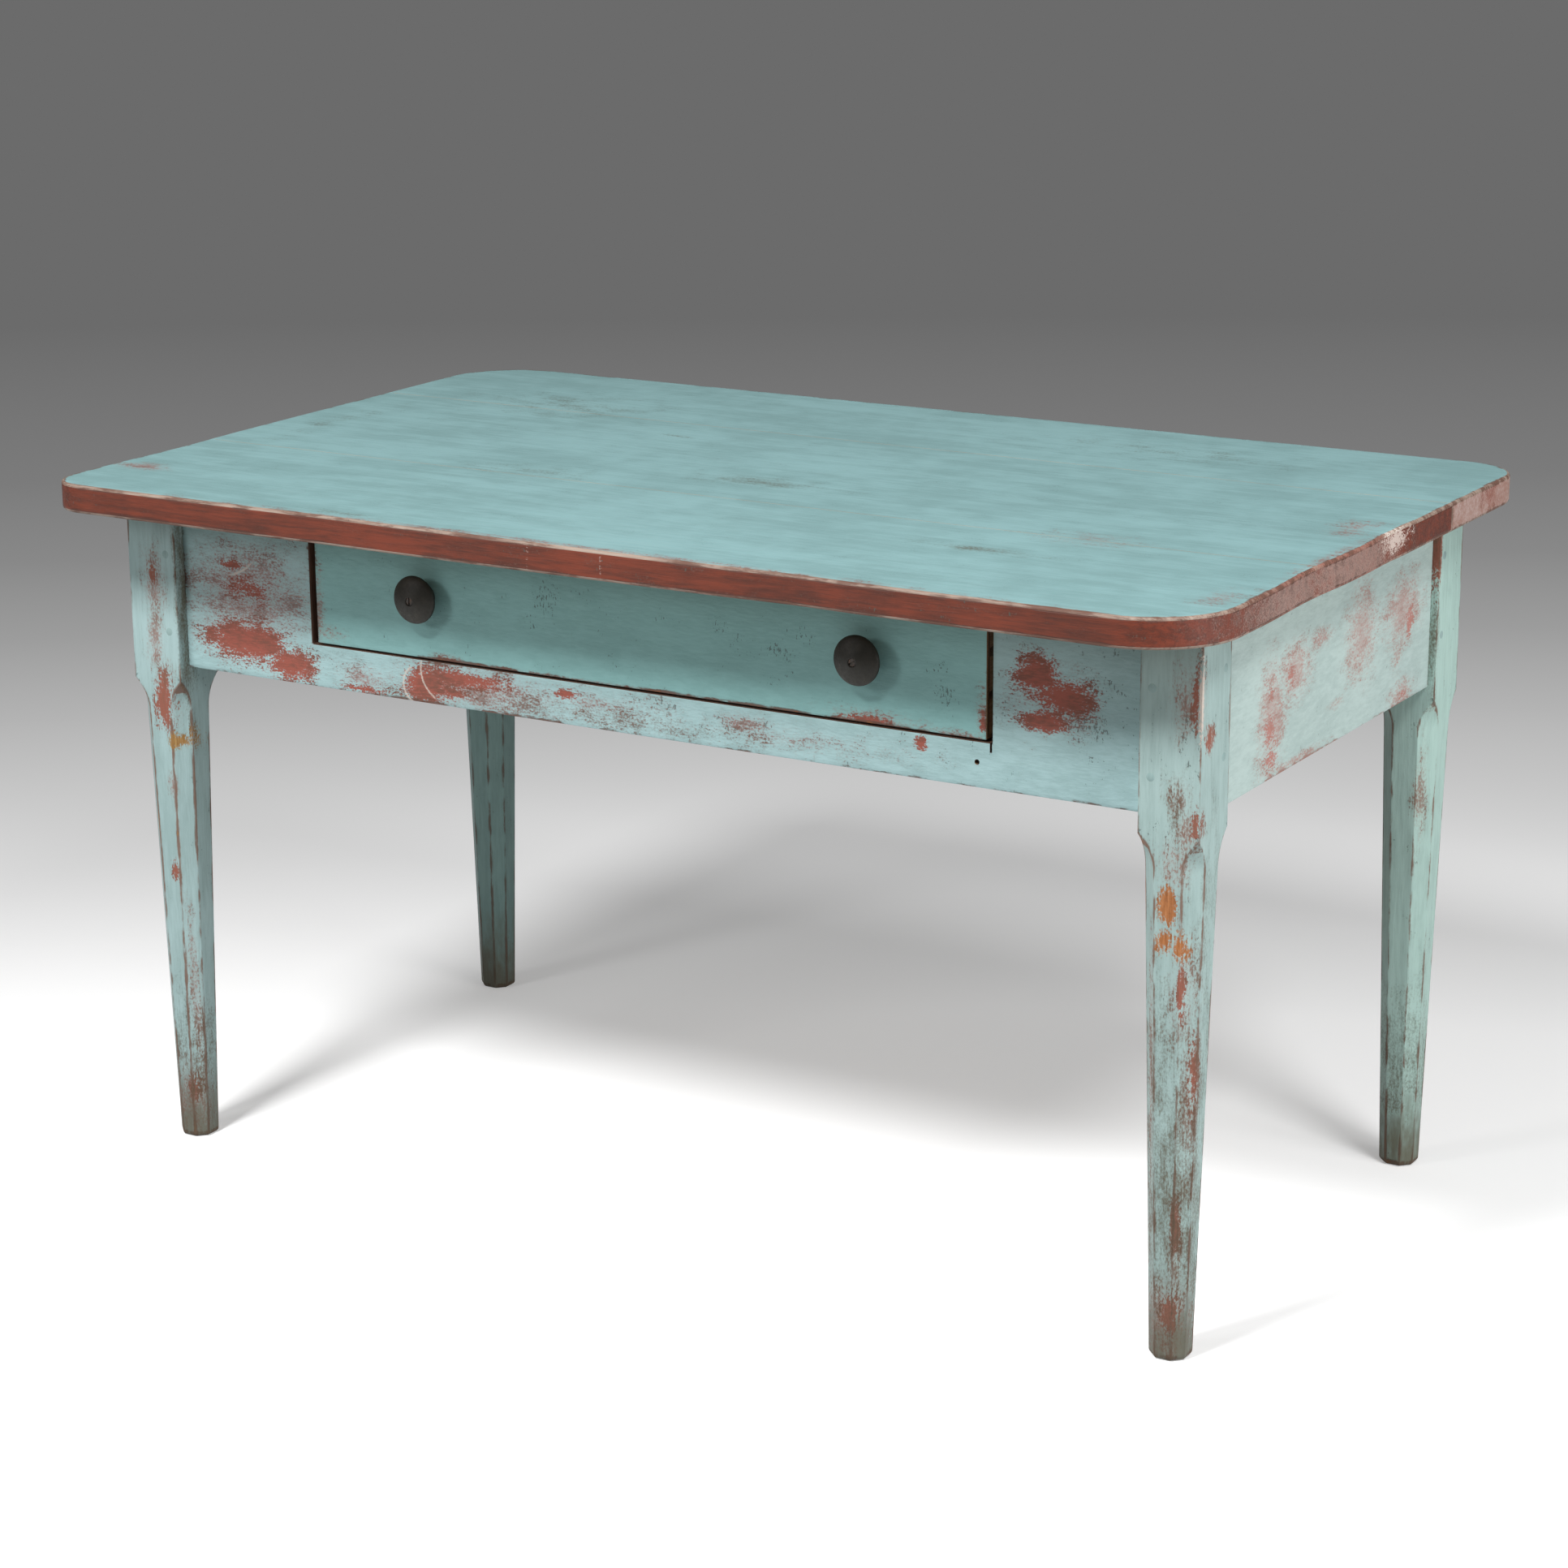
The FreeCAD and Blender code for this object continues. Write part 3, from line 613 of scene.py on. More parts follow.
top = {
    "cornerRadii": {(-1, -1): 0.045, (1, -1): 0.088, (-1, 1): 0.088, (1, 1): 0.062}, "cornerSteps": 14,
    "arris": 0.003, "arrisSteps": 3, "seamArris": 0.0004, "wornBand": 0.005,
    "longEdge": 0.3, "rimCuts": 60,  # longer edges are cut up, so that the rim can be dented
    "rimLean": 0.3,  # the most that a dented face of the rim leans
    "dents": [  # place on the rim, push, width
        ((0.66, -0.16, 0.75), (-0.004, 0.0, 0.0), 0.11),
        ((0.66, 0.03, 0.75), (-0.006, 0.0, -0.002), 0.05),
        ((0.66, 0.07, 0.75), (-0.004, 0.0, -0.001), 0.03),
        ((-0.66, -0.2, 0.75), (0.003, 0.0, 0.0), 0.12),
        ((-0.3, -0.4075, 0.75), (0.0, 0.002, 0.0), 0.12),
        ((0.25, -0.4075, 0.72), (0.0, 0.003, 0.0), 0.09),
    ],
    "upperTones": {"paint": (0.235, 0.398, 0.407), "shade": (0.186, 0.319, 0.323)},
    "upperWear": {
        "thin": spotsZ(
            (-0.62, -0.295, 0.04, 0.02, 1.2), (0.62, 0.04, 0.03, 0.06, 1.0),
            (0.0, -0.4, 0.7, 0.01, 0.9), (0.42, -0.135, 0.09, 0.05, 0.7),
            (0.63, -0.3, 0.03, 0.06, 0.8), (0.65, -0.1, 0.012, 0.2, 0.9)),
        "grime": spotsZ(
            (-0.005, -0.049, 0.12, 0.035, 0.75), (0.34, -0.225, 0.1, 0.02, 0.8),
            (-0.24, -0.113, 0.16, 0.05, 0.5), (-0.213, 0.123, 0.035, 0.01, 0.7),
            (-0.424, 0.22, 0.25, 0.14, 0.45), (-0.288, -0.387, 0.06, 0.01, 0.9),
            (0.3, 0.3, 0.35, 0.1, 0.35), (-0.6, 0.0, 0.05, 0.3, 0.35)),
    },
    "rimTones": {"paint": (0.168, 0.036, 0.018), "shade": (0.07, 0.02, 0.012),
                 "undercoat": (0.41, 0.29, 0.25), "brown": (0.075, 0.032, 0.023), "chip": (0.55, 0.45, 0.4)},
    "rimWear": {
        "thin": spotsX((-0.2, 0.736, 0.12, 0.05, 1.5), (-0.06, 0.737, 0.09, 0.05, 1.9))
        + spotsY((0.1, 0.722, 0.6, 0.006, 0.35)),
        "chipped": [(0.66, 0.05, 0.74, 0.03, 0.04, 0.014, 0.75)],
        "scratches": [scratchThroughY(0.235, 0.735, 0.2, 180, 4, 0.0012),
                      scratchThroughY(0.15, 0.728, 0.2, 180, 2, 0.0012),
                      scratchThroughX(0.01, 0.775, 0.045, -50, 20, 0.004),
                      scratchThroughX(0.035, 0.773, 0.045, -58, 22, 0.004),
                      scratchThroughX(0.05, 0.775, 0.045, -52, 18, 0.003)],
    },
    "backRimTones": {"paint": (0.42, 0.31, 0.28), "shade": (0.3, 0.165, 0.13),
                     "undercoat": (0.26, 0.08, 0.055)},
    "backRimWear": {"thin": spotsX((0.3, 0.74, 0.03, 0.02, 1.3)),
                    "grime": spotsX((0.194, 0.735, 0.004, 0.03, 1.3))},
    "arrisTones": {"paint": (0.34, 0.265, 0.215), "shade": (0.15, 0.085, 0.062), "wood": (0.42, 0.32, 0.26)},
}


def sawAway(board, seam, keepBehind):
    pickFaces(board)
    bpy.ops.mesh.bisect(plane_co=(0, seam, 0), plane_no=(0, 1, 0), use_fill=True,
                        clear_inner=keepBehind, clear_outer=not keepBehind)
    leaveEdit()


def makeTop():
    upperSlot, rimSlot, easedSlot, underSlot = range(4)
    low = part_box("top_board_front")[0]
    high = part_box("top_board_back")[1]
    slab = startBlock("topSlab", low, high)
    for (sideX, sideY), radius in top["cornerRadii"].items():
        corner = Vector((high.x if sideX > 0 else low.x, high.y if sideY > 0 else low.y))
        pickEdges(slab, lambda *ends: max((end.xy - corner).length for end in ends) < near)
        bpy.ops.mesh.bevel(offset=radius, segments=top["cornerSteps"], affect="EDGES")
    pickEdges(slab, lambda first, second: (first - second).length > top["longEdge"])
    bpy.ops.mesh.subdivide(number_cuts=top["rimCuts"])
    for place, push, width in top["dents"]:
        pickPoint(slab, place)
        bpy.ops.transform.translate(value=push, use_proportional_edit=True,
                                    proportional_edit_falloff="SMOOTH", proportional_size=width)
    leaveEdit()
    upper = paintFinish("topPaint", "top", edgeWear=0.5, wear=top["upperWear"], **top["upperTones"])
    rim = paintFinish("topRim", "x", edgeWear=0.7, wear=top["rimWear"], **top["rimTones"])
    arris = paintFinish("topArris", "x", edgeWear=0.45, wear=top["rimWear"], **top["arrisTones"])
    under = bareFinish("topUnderside", "x", **innerWood)
    backRim = paintFinish("topBackRim", "x", edgeWear=0.5, wear=top["backRimWear"], **top["backRimTones"])
    giveFinishes(slab, [upper, rim, arris, under])
    easeArrises(slab, top["arris"], top["arrisSteps"], easedSlot)
    for face in slab.data.polygons:
        if face.material_index != easedSlot:
            rise = face.normal.z
            face.material_index = upperSlot if rise > 0.5 else underSlot if rise < -0.5 else rimSlot
    addWornBand(slab, top["wornBand"], easedSlot, looksAlong((0, 0, 1)))
    addWornBand(slab, top["wornBand"] / 2, easedSlot, lambda face: abs(face.normal.z) < top["rimLean"])
    seams = [corner.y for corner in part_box("top_board_middle")]
    spans = {"front": (low.y, seams[0]), "middle": (seams[0], seams[1]), "back": (seams[1], high.y)}
    for name, (nearY, farY) in spans.items():
        board = copyTo(slab, "topBoard" + name.capitalize(), (0, 0, 0))
        if name == "back":
            board.data.materials[rimSlot] = backRim
        if nearY > low.y:
            sawAway(board, nearY, keepBehind=True)
        if farY < high.y:
            sawAway(board, farY, keepBehind=False)
        setSlot(board, underSlot, lambda face: min(abs(face.center.y - seam) for seam in seams) < near)
        pickEdges(board, lambda first, second: min(first.z, second.z) > high.z - level and any(
            abs(first.y - seam) < near and abs(second.y - seam) < near for seam in seams))
        bpy.ops.mesh.bevel(offset=top["seamArris"], segments=1, affect="EDGES")
        leaveEdit()
        smoothShade(board)
        settle(board, "table_frame", "painted_wood", "top_board_" + name)
    bpy.data.objects.remove(slab)


makeTop()
print("top boards made")


# legs: a square block, a taper drawn down to the foot, and a lamb's tongue cut on each corner

leg = {
    "footSize": 0.038, "footRound": 0.005, "footSteps": 4,
    "taperTop": 0.525, "stopLength": 0.034, "stopSteps": 12,
    "stopOverrun": 1.25,  # the cutter's curve goes on past the leg's corner
    "stopChamfer": 0.023, "footChamfer": 0.015,
    "cutterWidth": 0.12, "cutterDepth": 0.03, "cutBelow": 0.01,
    "arris": 0.0012, "arrisSteps": 2, "sharp": 26, "smooth": 35,
    "wornBand": 0.004, "smallFace": 0.0004, "sole": 0.01, "tip": 0.012,
    "edgeWear": 0.75, "footDirt": 0.11,
    "tones": {"paint": (0.355, 0.48, 0.465), "shade": (0.28, 0.385, 0.37), "brown": (0.18, 0.1, 0.07),
              "undercoat": (0.28, 0.1, 0.068)},
}
legWear = {
    "front_left": {
        "thin": [
            (-0.593, -0.32, 0.632, 0.018, 0.03, 0.04, 1.3), (-0.595, -0.32, 0.566, 0.014, 0.03, 0.035, 1.3),
            (-0.586, -0.318, 0.51, 0.02, 0.03, 0.06, 1.0), (-0.584, -0.315, 0.41, 0.008, 0.03, 0.02, 1.1),
            (-0.577, -0.305, 0.17, 0.006, 0.02, 0.14, 1.1), (-0.59, -0.305, 0.045, 0.03, 0.03, 0.05, 1.3)],
        "worn": [
            (-0.595, -0.32, 0.64, 0.008, 0.03, 0.014, 0.9), (-0.588, -0.318, 0.502, 0.011, 0.03, 0.03, 1.3),
            (-0.587, -0.312, 0.311, 0.006, 0.03, 0.013, 1.2),
            (-0.585, -0.305, 0.06, 0.008, 0.02, 0.025, 0.9)],
        "grime": [
            # the first spot is partly dirt and partly painted shade: a dark strip down the leg's inner side,
            # in the corner against the front apron
            (-0.563, -0.308, 0.63, 0.004, 0.014, 0.13, 1.5), (-0.58, -0.3, 0.06, 0.1, 0.1, 0.14, 0.9)],
        "bared": [
            (-0.574, -0.316, 0.458, 0.014, 0.03, 0.01, 1.0), (-0.552, -0.31, 0.46, 0.016, 0.03, 0.016, 1.1)],
    },
    "front_right": {
        "thin": [
            (0.612, -0.32, 0.658, 0.022, 0.014, 0.045, 1.2), (0.605, -0.32, 0.56, 0.025, 0.02, 0.035, 0.9),
            (0.612, -0.317, 0.535, 0.015, 0.02, 0.03, 1.2), (0.6, -0.318, 0.5, 0.025, 0.02, 0.045, 0.9),
            (0.61, -0.315, 0.37, 0.02, 0.03, 0.08, 1.0), (0.617, -0.308, 0.26, 0.012, 0.02, 0.12, 1.2),
            (0.605, -0.31, 0.1, 0.014, 0.03, 0.1, 1.0), (0.595, -0.305, 0.045, 0.03, 0.03, 0.05, 1.4),
            (0.576, -0.312, 0.25, 0.005, 0.02, 0.2, 1.3)],
        "worn": [
            (0.619, -0.32, 0.66, 0.006, 0.012, 0.04, 0.9), (0.624, -0.303, 0.618, 0.01, 0.012, 0.014, 1.1),
            (0.621, -0.315, 0.541, 0.005, 0.012, 0.022, 1.0), (0.608, -0.316, 0.375, 0.004, 0.02, 0.03, 1.2),
            (0.618, -0.305, 0.29, 0.006, 0.012, 0.05, 0.9), (0.605, -0.31, 0.14, 0.005, 0.02, 0.03, 1.1),
            (0.6, -0.305, 0.05, 0.01, 0.02, 0.03, 1.0)],
        "bared": [
            (0.594, -0.318, 0.457, 0.01, 0.02, 0.021, 1.1), (0.592, -0.318, 0.424, 0.011, 0.02, 0.014, 1.2),
            (0.606, -0.318, 0.42, 0.008, 0.02, 0.016, 1.2)],
        "chipped": [(0.6245, -0.3195, 0.656, 0.0035, 0.0035, 0.035, 1.0)],
        "grime": [
            (0.605, -0.31, 0.14, 0.1, 0.1, 0.3, 1.0), (0.603, -0.32, 0.555, 0.022, 0.02, 0.05, 0.8),
            (0.628, -0.29, 0.35, 0.014, 0.035, 0.3, 0.7)],
        "fleck": [
            (0.615, -0.32, 0.64, 0.012, 0.02, 0.07, 1.2), (0.6, -0.318, 0.53, 0.03, 0.03, 0.05, 0.7)],
    },
    "back_left": {},
    "back_right": {
        "thin": [(0.613, 0.262, 0.42, 0.01, 0.01, 0.06, 1.2)],
        "worn": [(0.621, 0.258, 0.69, 0.01, 0.004, 0.05, 1.3)],
        "grime": [(0.62, 0.258, 0.6, 0.012, 0.006, 0.12, 1.0), (0.6, 0.27, 0.1, 0.1, 0.1, 0.15, 0.8)],
    },
}
legTones = {  # where a leg's colour differs from the others
    # partly painted light: the front left leg's lighter, bluer paint also stands in for the bounce light on
    # its inner side
    "front_left": {"paint": (0.37, 0.51, 0.51), "shade": (0.295, 0.415, 0.41), "wood": (0.42, 0.25, 0.09)},
    # painted shade: the back left leg's paint, shade and brown are darker for the shade that falls on it
    # under the table
    "back_left": {"paint": (0.2, 0.315, 0.3), "shade": (0.155, 0.25, 0.237), "brown": (0.1, 0.072, 0.055)},
    "back_right": {"paint": (0.41, 0.58, 0.53), "shade": (0.325, 0.465, 0.425)},
}


def makeTongueCutter(half):
    # the chamfer's plane, with the stop spun up from its head, then given a thickness outwards
    root2 = math.sqrt(2)
    flatStop = half * root2 - leg["stopChamfer"] / 2
    flatFoot = leg["footSize"] / root2 - leg["footChamfer"] / 2
    slope = (flatStop - flatFoot) / leg["taperTop"]
    start = Vector((flatStop - slope * leg["stopLength"], 0, leg["taperTop"] - leg["stopLength"]))
    chord = Vector((half * root2, 0, leg["taperTop"])) - start
    outward = Vector((1, 0, -slope)).normalized()
    radius = chord.length_squared / (2 * chord.dot(outward))
    sweep = 2 * math.asin(chord.length / (2 * radius))
    foot = Vector((flatFoot - slope * leg["cutBelow"], 0, -leg["cutBelow"]))
    deselectAll()
    bpy.ops.mesh.primitive_plane_add(size=1, location=(start + foot) / 2,
                                     rotation=(0, math.atan(slope) + math.pi / 2, 0))
    cutter = bpy.context.object
    cutter.scale = ((start - foot).length, leg["cutterWidth"], 1)
    bpy.ops.object.transform_apply()
    pickEdges(cutter, lambda first, second: min(first.z, second.z) > start.z - level)
    bpy.ops.mesh.spin(steps=leg["stopSteps"], angle=-sweep * leg["stopOverrun"],
                      center=start + outward * radius, axis=(0, 1, 0))
    leaveEdit()
    applyModifier(cutter, "SOLIDIFY", thickness=leg["cutterDepth"], offset=1.0)
    return cutter


def makeLegForm():
    low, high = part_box("leg_front_right")
    half = (high.x - low.x) / 2
    form = startBlock("legForm", (-half, -half, leg["taperTop"]), (half, half, high.z))
    pickFaces(form, looksAlong((0, 0, -1)))
    bpy.ops.mesh.extrude_region_move(TRANSFORM_OT_translate={"value": (0, 0, -leg["taperTop"])})
    shrink = leg["footSize"] / (2 * half)
    bpy.ops.transform.resize(value=(shrink, shrink, 1), center_override=(0, 0, 0))
    leaveEdit()
    cutter = makeTongueCutter(half)
    for quarter in range(4):
        waste = copyTo(cutter, "waste", (0, 0, 0))
        waste.rotation_euler.z = math.radians(45 + 90 * quarter)
        cutWith(form, waste)
    bpy.data.objects.remove(cutter)
    pickEdges(form, lambda first, second: max(first.z, second.z) < level)
    bpy.ops.mesh.bevel(offset=leg["footRound"], segments=leg["footSteps"], affect="EDGES")
    leaveEdit()
    return form


def makeLegs():
    form = makeLegForm()
    giveFinishes(form, [bareAlongX, bareAlongX])  # for now: the second slot tells the arrises apart
    easeArrises(form, leg["arris"], leg["arrisSteps"], arrisSlot, sharp=leg["sharp"])
    tipLow = leg["taperTop"] - leg["tip"]
    addWornBand(form, leg["wornBand"], arrisSlot,
                lambda face: face.area > leg["smallFace"] or leg["sole"] < face.center.z < tipLow)
    smoothShade(form, leg["smooth"])
    for corner, wear in legWear.items():
        low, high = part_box("leg_" + corner)
        middle = (low + high) / 2
        label = corner.title().replace("_", "")
        piece = copyTo(form, "leg" + label, (middle.x, middle.y, 0))
        tones = {**leg["tones"], **legTones.get(corner, {})}
        finish = paintFinish("legPaint" + label, "z", leg["edgeWear"], wear=wear,
                             footDirt=leg["footDirt"], **tones)
        giveFinishes(piece, [finish])
        settle(piece, "table_frame", "painted_wood", "leg_" + corner)
    bpy.data.objects.remove(form)


makeLegs()
print("legs made")


# aprons: boards between the legs, the front one sawn open for the drawer

apron = {
    "arris": 0.0012, "arrisSteps": 2, "wornBand": 0.004, "smallFace": 0.002, "edgeWear": 0.45,
    "openingHalf": 0.4, "railTop": 0.585, "sawPast": 0.05,
    "kerfWidth": 0.0025, "kerfDepth": 0.009, "kerfRise": 0.002, "kerfFromJamb": 0.0001,
    "nailFromJamb": 0.016, "nailHeight": 0.565,
    "nailHoleRadius": 0.0027, "nailHoleLength": 0.02, "nailHolePoints": 20,
    "grain": {"front": "brushedX", "back": "brushedX", "left": "brushedY", "right": "brushedY"},
    "frontTones": {"paint": (0.358, 0.525, 0.535), "shade": (0.29, 0.435, 0.44)},
    "frontWear": {
        "thin": spotsY(
            (-0.477, 0.632, 0.075, 0.045, 1.6), (-0.49, 0.588, 0.07, 0.035, 1.3),
            (-0.42, 0.625, 0.04, 0.04, 1.0), (-0.328, 0.555, 0.04, 0.02, 1.2),
            (-0.2, 0.562, 0.11, 0.026, 1.4), (-0.05, 0.565, 0.09, 0.018, 1.0),
            (-0.1, 0.56, 0.4, 0.04, 0.75), (0.129, 0.568, 0.05, 0.018, 1.0),
            (0.18, 0.56, 0.25, 0.03, 0.65), (0.467, 0.637, 0.055, 0.045, 1.1)),
        "worn": spotsY(
            (-0.5, 0.658, 0.02, 0.006, 1.0), (-0.475, 0.634, 0.05, 0.022, 0.8),
            (-0.529, 0.58, 0.012, 0.012, 0.9), (-0.48, 0.577, 0.05, 0.02, 1.3),
            (-0.426, 0.558, 0.034, 0.018, 1.2), (-0.332, 0.545, 0.036, 0.006, 0.9),
            (-0.253, 0.56, 0.028, 0.02, 1.2), (-0.2, 0.571, 0.06, 0.01, 1.1),
            (-0.22, 0.555, 0.03, 0.01, 0.8), (-0.078, 0.571, 0.018, 0.008, 1.0),
            (0.328, 0.575, 0.007, 0.008, 1.2), (0.45, 0.657, 0.024, 0.02, 1.2),
            (0.476, 0.64, 0.034, 0.018, 1.2), (0.458, 0.614, 0.024, 0.012, 1.2)),
        "scratches": [scratchThroughY(-0.259, 0.558, 0.0205, 180, 65),
                      scratchThroughY(-0.225, 0.5755, 0.032, 192, 52),
                      scratchThroughY(-0.509, 0.697, 0.05, -63, 24),
                      scratchThroughY(-0.405, 0.484, 0.15, 90, 6),
                      scratchThroughY(-0.408, 0.477, 0.15, 90, 5)],
        "grime": spotsY((-0.05, 0.556, 0.45, 0.03, 0.5)),
        "fleck": spotsY((0.5, 0.63, 0.07, 0.05, 0.9), (0.1, 0.57, 0.15, 0.02, 0.8)),
    },
    "backWear": {
        "thin": spotsY(
            (-0.3, 0.56, 0.12, 0.02, 1.0), (0.1, 0.548, 0.2, 0.008, 1.1),
            (0.42, 0.66, 0.06, 0.04, 1.2), (-0.5, 0.6, 0.05, 0.05, 1.0)),
        "worn": spotsY((0.42, 0.655, 0.03, 0.014, 1.0), (-0.3, 0.552, 0.05, 0.008, 0.9)),
    },
    "leftWear": {
        "thin": spotsX(
            (0.12, 0.63, 0.05, 0.03, 1.3), (-0.15, 0.57, 0.06, 0.02, 1.2),
            (0.0, 0.545, 0.2, 0.006, 1.1)),
        "worn": spotsX((0.13, 0.625, 0.024, 0.014, 1.0), (-0.16, 0.562, 0.03, 0.01, 0.9)),
    },
    "rightTones": {"paint": (0.45, 0.565, 0.54), "shade": (0.37, 0.475, 0.455),
                   "undercoat": (0.43, 0.2, 0.17), "brown": (0.31, 0.17, 0.14)},
    "rightWear": {
        "thin": spotsX(
            (-0.145, 0.598, 0.028, 0.055, 1.6), (-0.09, 0.634, 0.032, 0.025, 1.6),
            (-0.03, 0.655, 0.035, 0.014, 1.1), (0.072, 0.636, 0.036, 0.042, 1.6),
            (0.182, 0.638, 0.04, 0.03, 1.7), (0.182, 0.55, 0.03, 0.016, 1.4),
            (-0.09, 0.545, 0.1, 0.006, 1.1), (0.015, 0.579, 0.03, 0.01, 0.9),
            (0.17, 0.59, 0.02, 0.03, 0.9)),
        "worn": spotsX(
            (-0.149, 0.588, 0.018, 0.024, 0.8), (-0.143, 0.562, 0.022, 0.016, 0.9),
            (-0.1, 0.632, 0.016, 0.018, 0.6), (-0.146, 0.625, 0.01, 0.018, 0.5),
            (0.2, 0.622, 0.014, 0.022, 0.9), (0.188, 0.549, 0.018, 0.008, 0.6)),
    },
}


def makeApron(side, low, high, inner, inward, opening=None, marks=()):
    # inward is the way its unpainted inner face looks
    label = side.capitalize()
    finish = paintFinish("apronPaint" + label, apron["grain"][side], apron["edgeWear"],
                         wear=apron[side + "Wear"], **apron.get(side + "Tones", {}))
    piece = startBlock("apron" + label, low, high)
    if opening:
        cutWith(piece, opening)
    giveFinishes(piece, [finish, finish, inner])
    easeArrises(piece, apron["arris"], apron["arrisSteps"], arrisSlot)
    addWornBand(piece, apron["wornBand"], arrisSlot, lambda face: face.area > apron["smallFace"])
    for mark in marks:
        giveFinishes(mark, [finish, finish, inner])
        setSlot(mark, innerSlot)
        cutWith(piece, mark)
    smoothShade(piece)
    setSlot(piece, innerSlot, looksAlong(inward))
    settle(piece, "table_frame", "painted_wood", "apron_" + side)
    return piece


def makeAprons():
    legLow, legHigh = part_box("leg_front_right")
    innerX, innerY = legLow.x, -legHigh.y
    frontLow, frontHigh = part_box("apron_front")
    nearY, farY = frontLow.y, frontHigh.y
    bottom, upper = frontLow.z, frontHigh.z
    drawerMiddle = sum(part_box("drawer_front"), Vector()) / 2
    leftJamb, rightJamb = drawerMiddle.x - apron["openingHalf"], drawerMiddle.x + apron["openingHalf"]
    rail, past = apron["railTop"], apron["sawPast"]
    opening = startBlock("openingWaste", (leftJamb, nearY - past, rail),
                         (rightJamb, farY + past, upper + past))
    kerf = startBlock("kerfWaste",
                      (rightJamb - apron["kerfWidth"], nearY - past, rail - apron["kerfDepth"]),
                      (rightJamb - apron["kerfFromJamb"], farY + past, rail + apron["kerfRise"]))
    holePlace = (rightJamb - apron["nailFromJamb"], nearY, apron["nailHeight"])
    hole = startCylinder(apron["nailHolePoints"], apron["nailHoleRadius"], apron["nailHoleLength"],
                         holePlace, (math.pi / 2, 0, 0))
    piece = makeApron("front", (-innerX, nearY, bottom), (innerX, farY, upper), innerAlongX, (0, 1, 0),
                      opening, (kerf, hole))
    # partly painted shade: the jambs and the rail's top in the drawer opening get the near black sawn finish
    # for the shade in the gap round the drawer
    piece.data.materials.append(bareFinish("sawnJamb", "z", **sawnWood))
    for way in ((1, 0, 0), (-1, 0, 0), (0, 0, 1)):
        setSlot(piece, endSlot, looksAlong(way))
    makeApron("back", (-innerX, -farY, bottom), (innerX, -nearY, upper), innerAlongX, (0, -1, 0))
    for side, inward in (("left", (1, 0, 0)), ("right", (-1, 0, 0))):
        low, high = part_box("apron_" + side)
        makeApron(side, (low.x, -innerY, bottom), (high.x, innerY, upper), innerAlongY, inward)


makeAprons()
print("aprons made")


# pegs: two through each tenon, painted over and standing a hair proud

peg = {
    "radius": 0.0045, "length": 0.03, "points": 18, "proud": 0.0001,
    "edge": 0.0004, "edgeSteps": 2, "sharp": 50,
    "fromShoulder": 0.012, "heights": (0.58, 0.664), "stagger": 0.014,
    "edgeWear": 0.4, "tones": {"paint": (0.29, 0.41, 0.4), "shade": (0.22, 0.32, 0.31)},
}


def makePegs():
    pegs = []
    for corner in legWear:
        low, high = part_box("leg_" + corner)
        sideX = math.copysign(1, low.x)
        sideY = math.copysign(1, low.y)
        faceX = max(abs(low.x), abs(high.x)) + peg["proud"] - peg["length"] / 2
        faceY = max(abs(low.y), abs(high.y)) + peg["proud"] - peg["length"] / 2
        shoulderX = min(abs(low.x), abs(high.x)) + peg["fromShoulder"]
        shoulderY = min(abs(low.y), abs(high.y)) + peg["fromShoulder"]
        for height in peg["heights"]:
            places = [((sideX * shoulderX, sideY * faceY, height), (math.pi / 2, 0, 0)),
                      ((sideX * faceX, sideY * shoulderY, height + peg["stagger"]), (0, math.pi / 2, 0))]
            for place, turn in places:
                pegs.append(startCylinder(peg["points"], peg["radius"], peg["length"], place, turn))
    deselectAll()
    for piece in pegs:
        piece.select_set(True)
    bpy.context.view_layer.objects.active = pegs[0]
    bpy.ops.object.join()
    joined = bpy.context.object
    joined.name = "apronPegs"
    easeArrises(joined, peg["edge"], peg["edgeSteps"], sharp=peg["sharp"])
    giveFinishes(joined, [paintFinish("pegPaint", "z", peg["edgeWear"], **peg["tones"])])
    smoothShade(joined)
    settle(joined, "table_frame", "peg_wood", "apron_pegs")


makePegs()
print("pegs made")


# drawer front: a board with half-blind sockets for the sides

drawerFront = {
    "arris": 0.0013, "arrisSteps": 2, "wornBand": 0.004, "edgeWear": 0.6,
    "grooveDepth": 0.006, "grooveLow": 0.5973, "grooveHigh": 0.6043, "groovePast": 0.01,
    "tones": {"paint": (0.258, 0.485, 0.475), "shade": (0.223, 0.423, 0.413)},
    "wear": {
        "thin": spotsY(
            (-0.387, 0.625, 0.009, 0.05, 1.3), (-0.372, 0.598, 0.022, 0.012, 1.1),
            (-0.225, 0.589, 0.022, 0.006, 1.2), (0.28, 0.592, 0.07, 0.01, 1.2),
            (0.393, 0.61, 0.008, 0.035, 1.2), (0.36, 0.589, 0.06, 0.006, 1.1),
            (-0.05, 0.588, 0.2, 0.003, 1.0)),
        "worn": spotsY(
            (0.268, 0.59, 0.035, 0.006, 0.9), (0.393, 0.602, 0.005, 0.018, 0.8),
            (-0.225, 0.588, 0.016, 0.003, 0.8)),
        "fleck": spotsY(
            (-0.105, 0.665, 0.018, 0.03, 1.2), (0.112, 0.662, 0.014, 0.016, 1.3),
            (0.175, 0.63, 0.018, 0.02, 1.2), (0.201, 0.665, 0.008, 0.014, 1.2),
            (0.349, 0.638, 0.014, 0.016, 1.2), (0.0, 0.617, 0.008, 0.01, 1.1)),
    },
}


def mergedCopy(node):
    # a closed copy of a CAD node's loose triangles
    activate(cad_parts[node])
    bpy.ops.object.duplicate()
    copied = bpy.context.object
    copied.parent = None
    pickFaces(copied)
    bpy.ops.mesh.remove_doubles(threshold=1e-6)
    leaveEdit()
    return copied


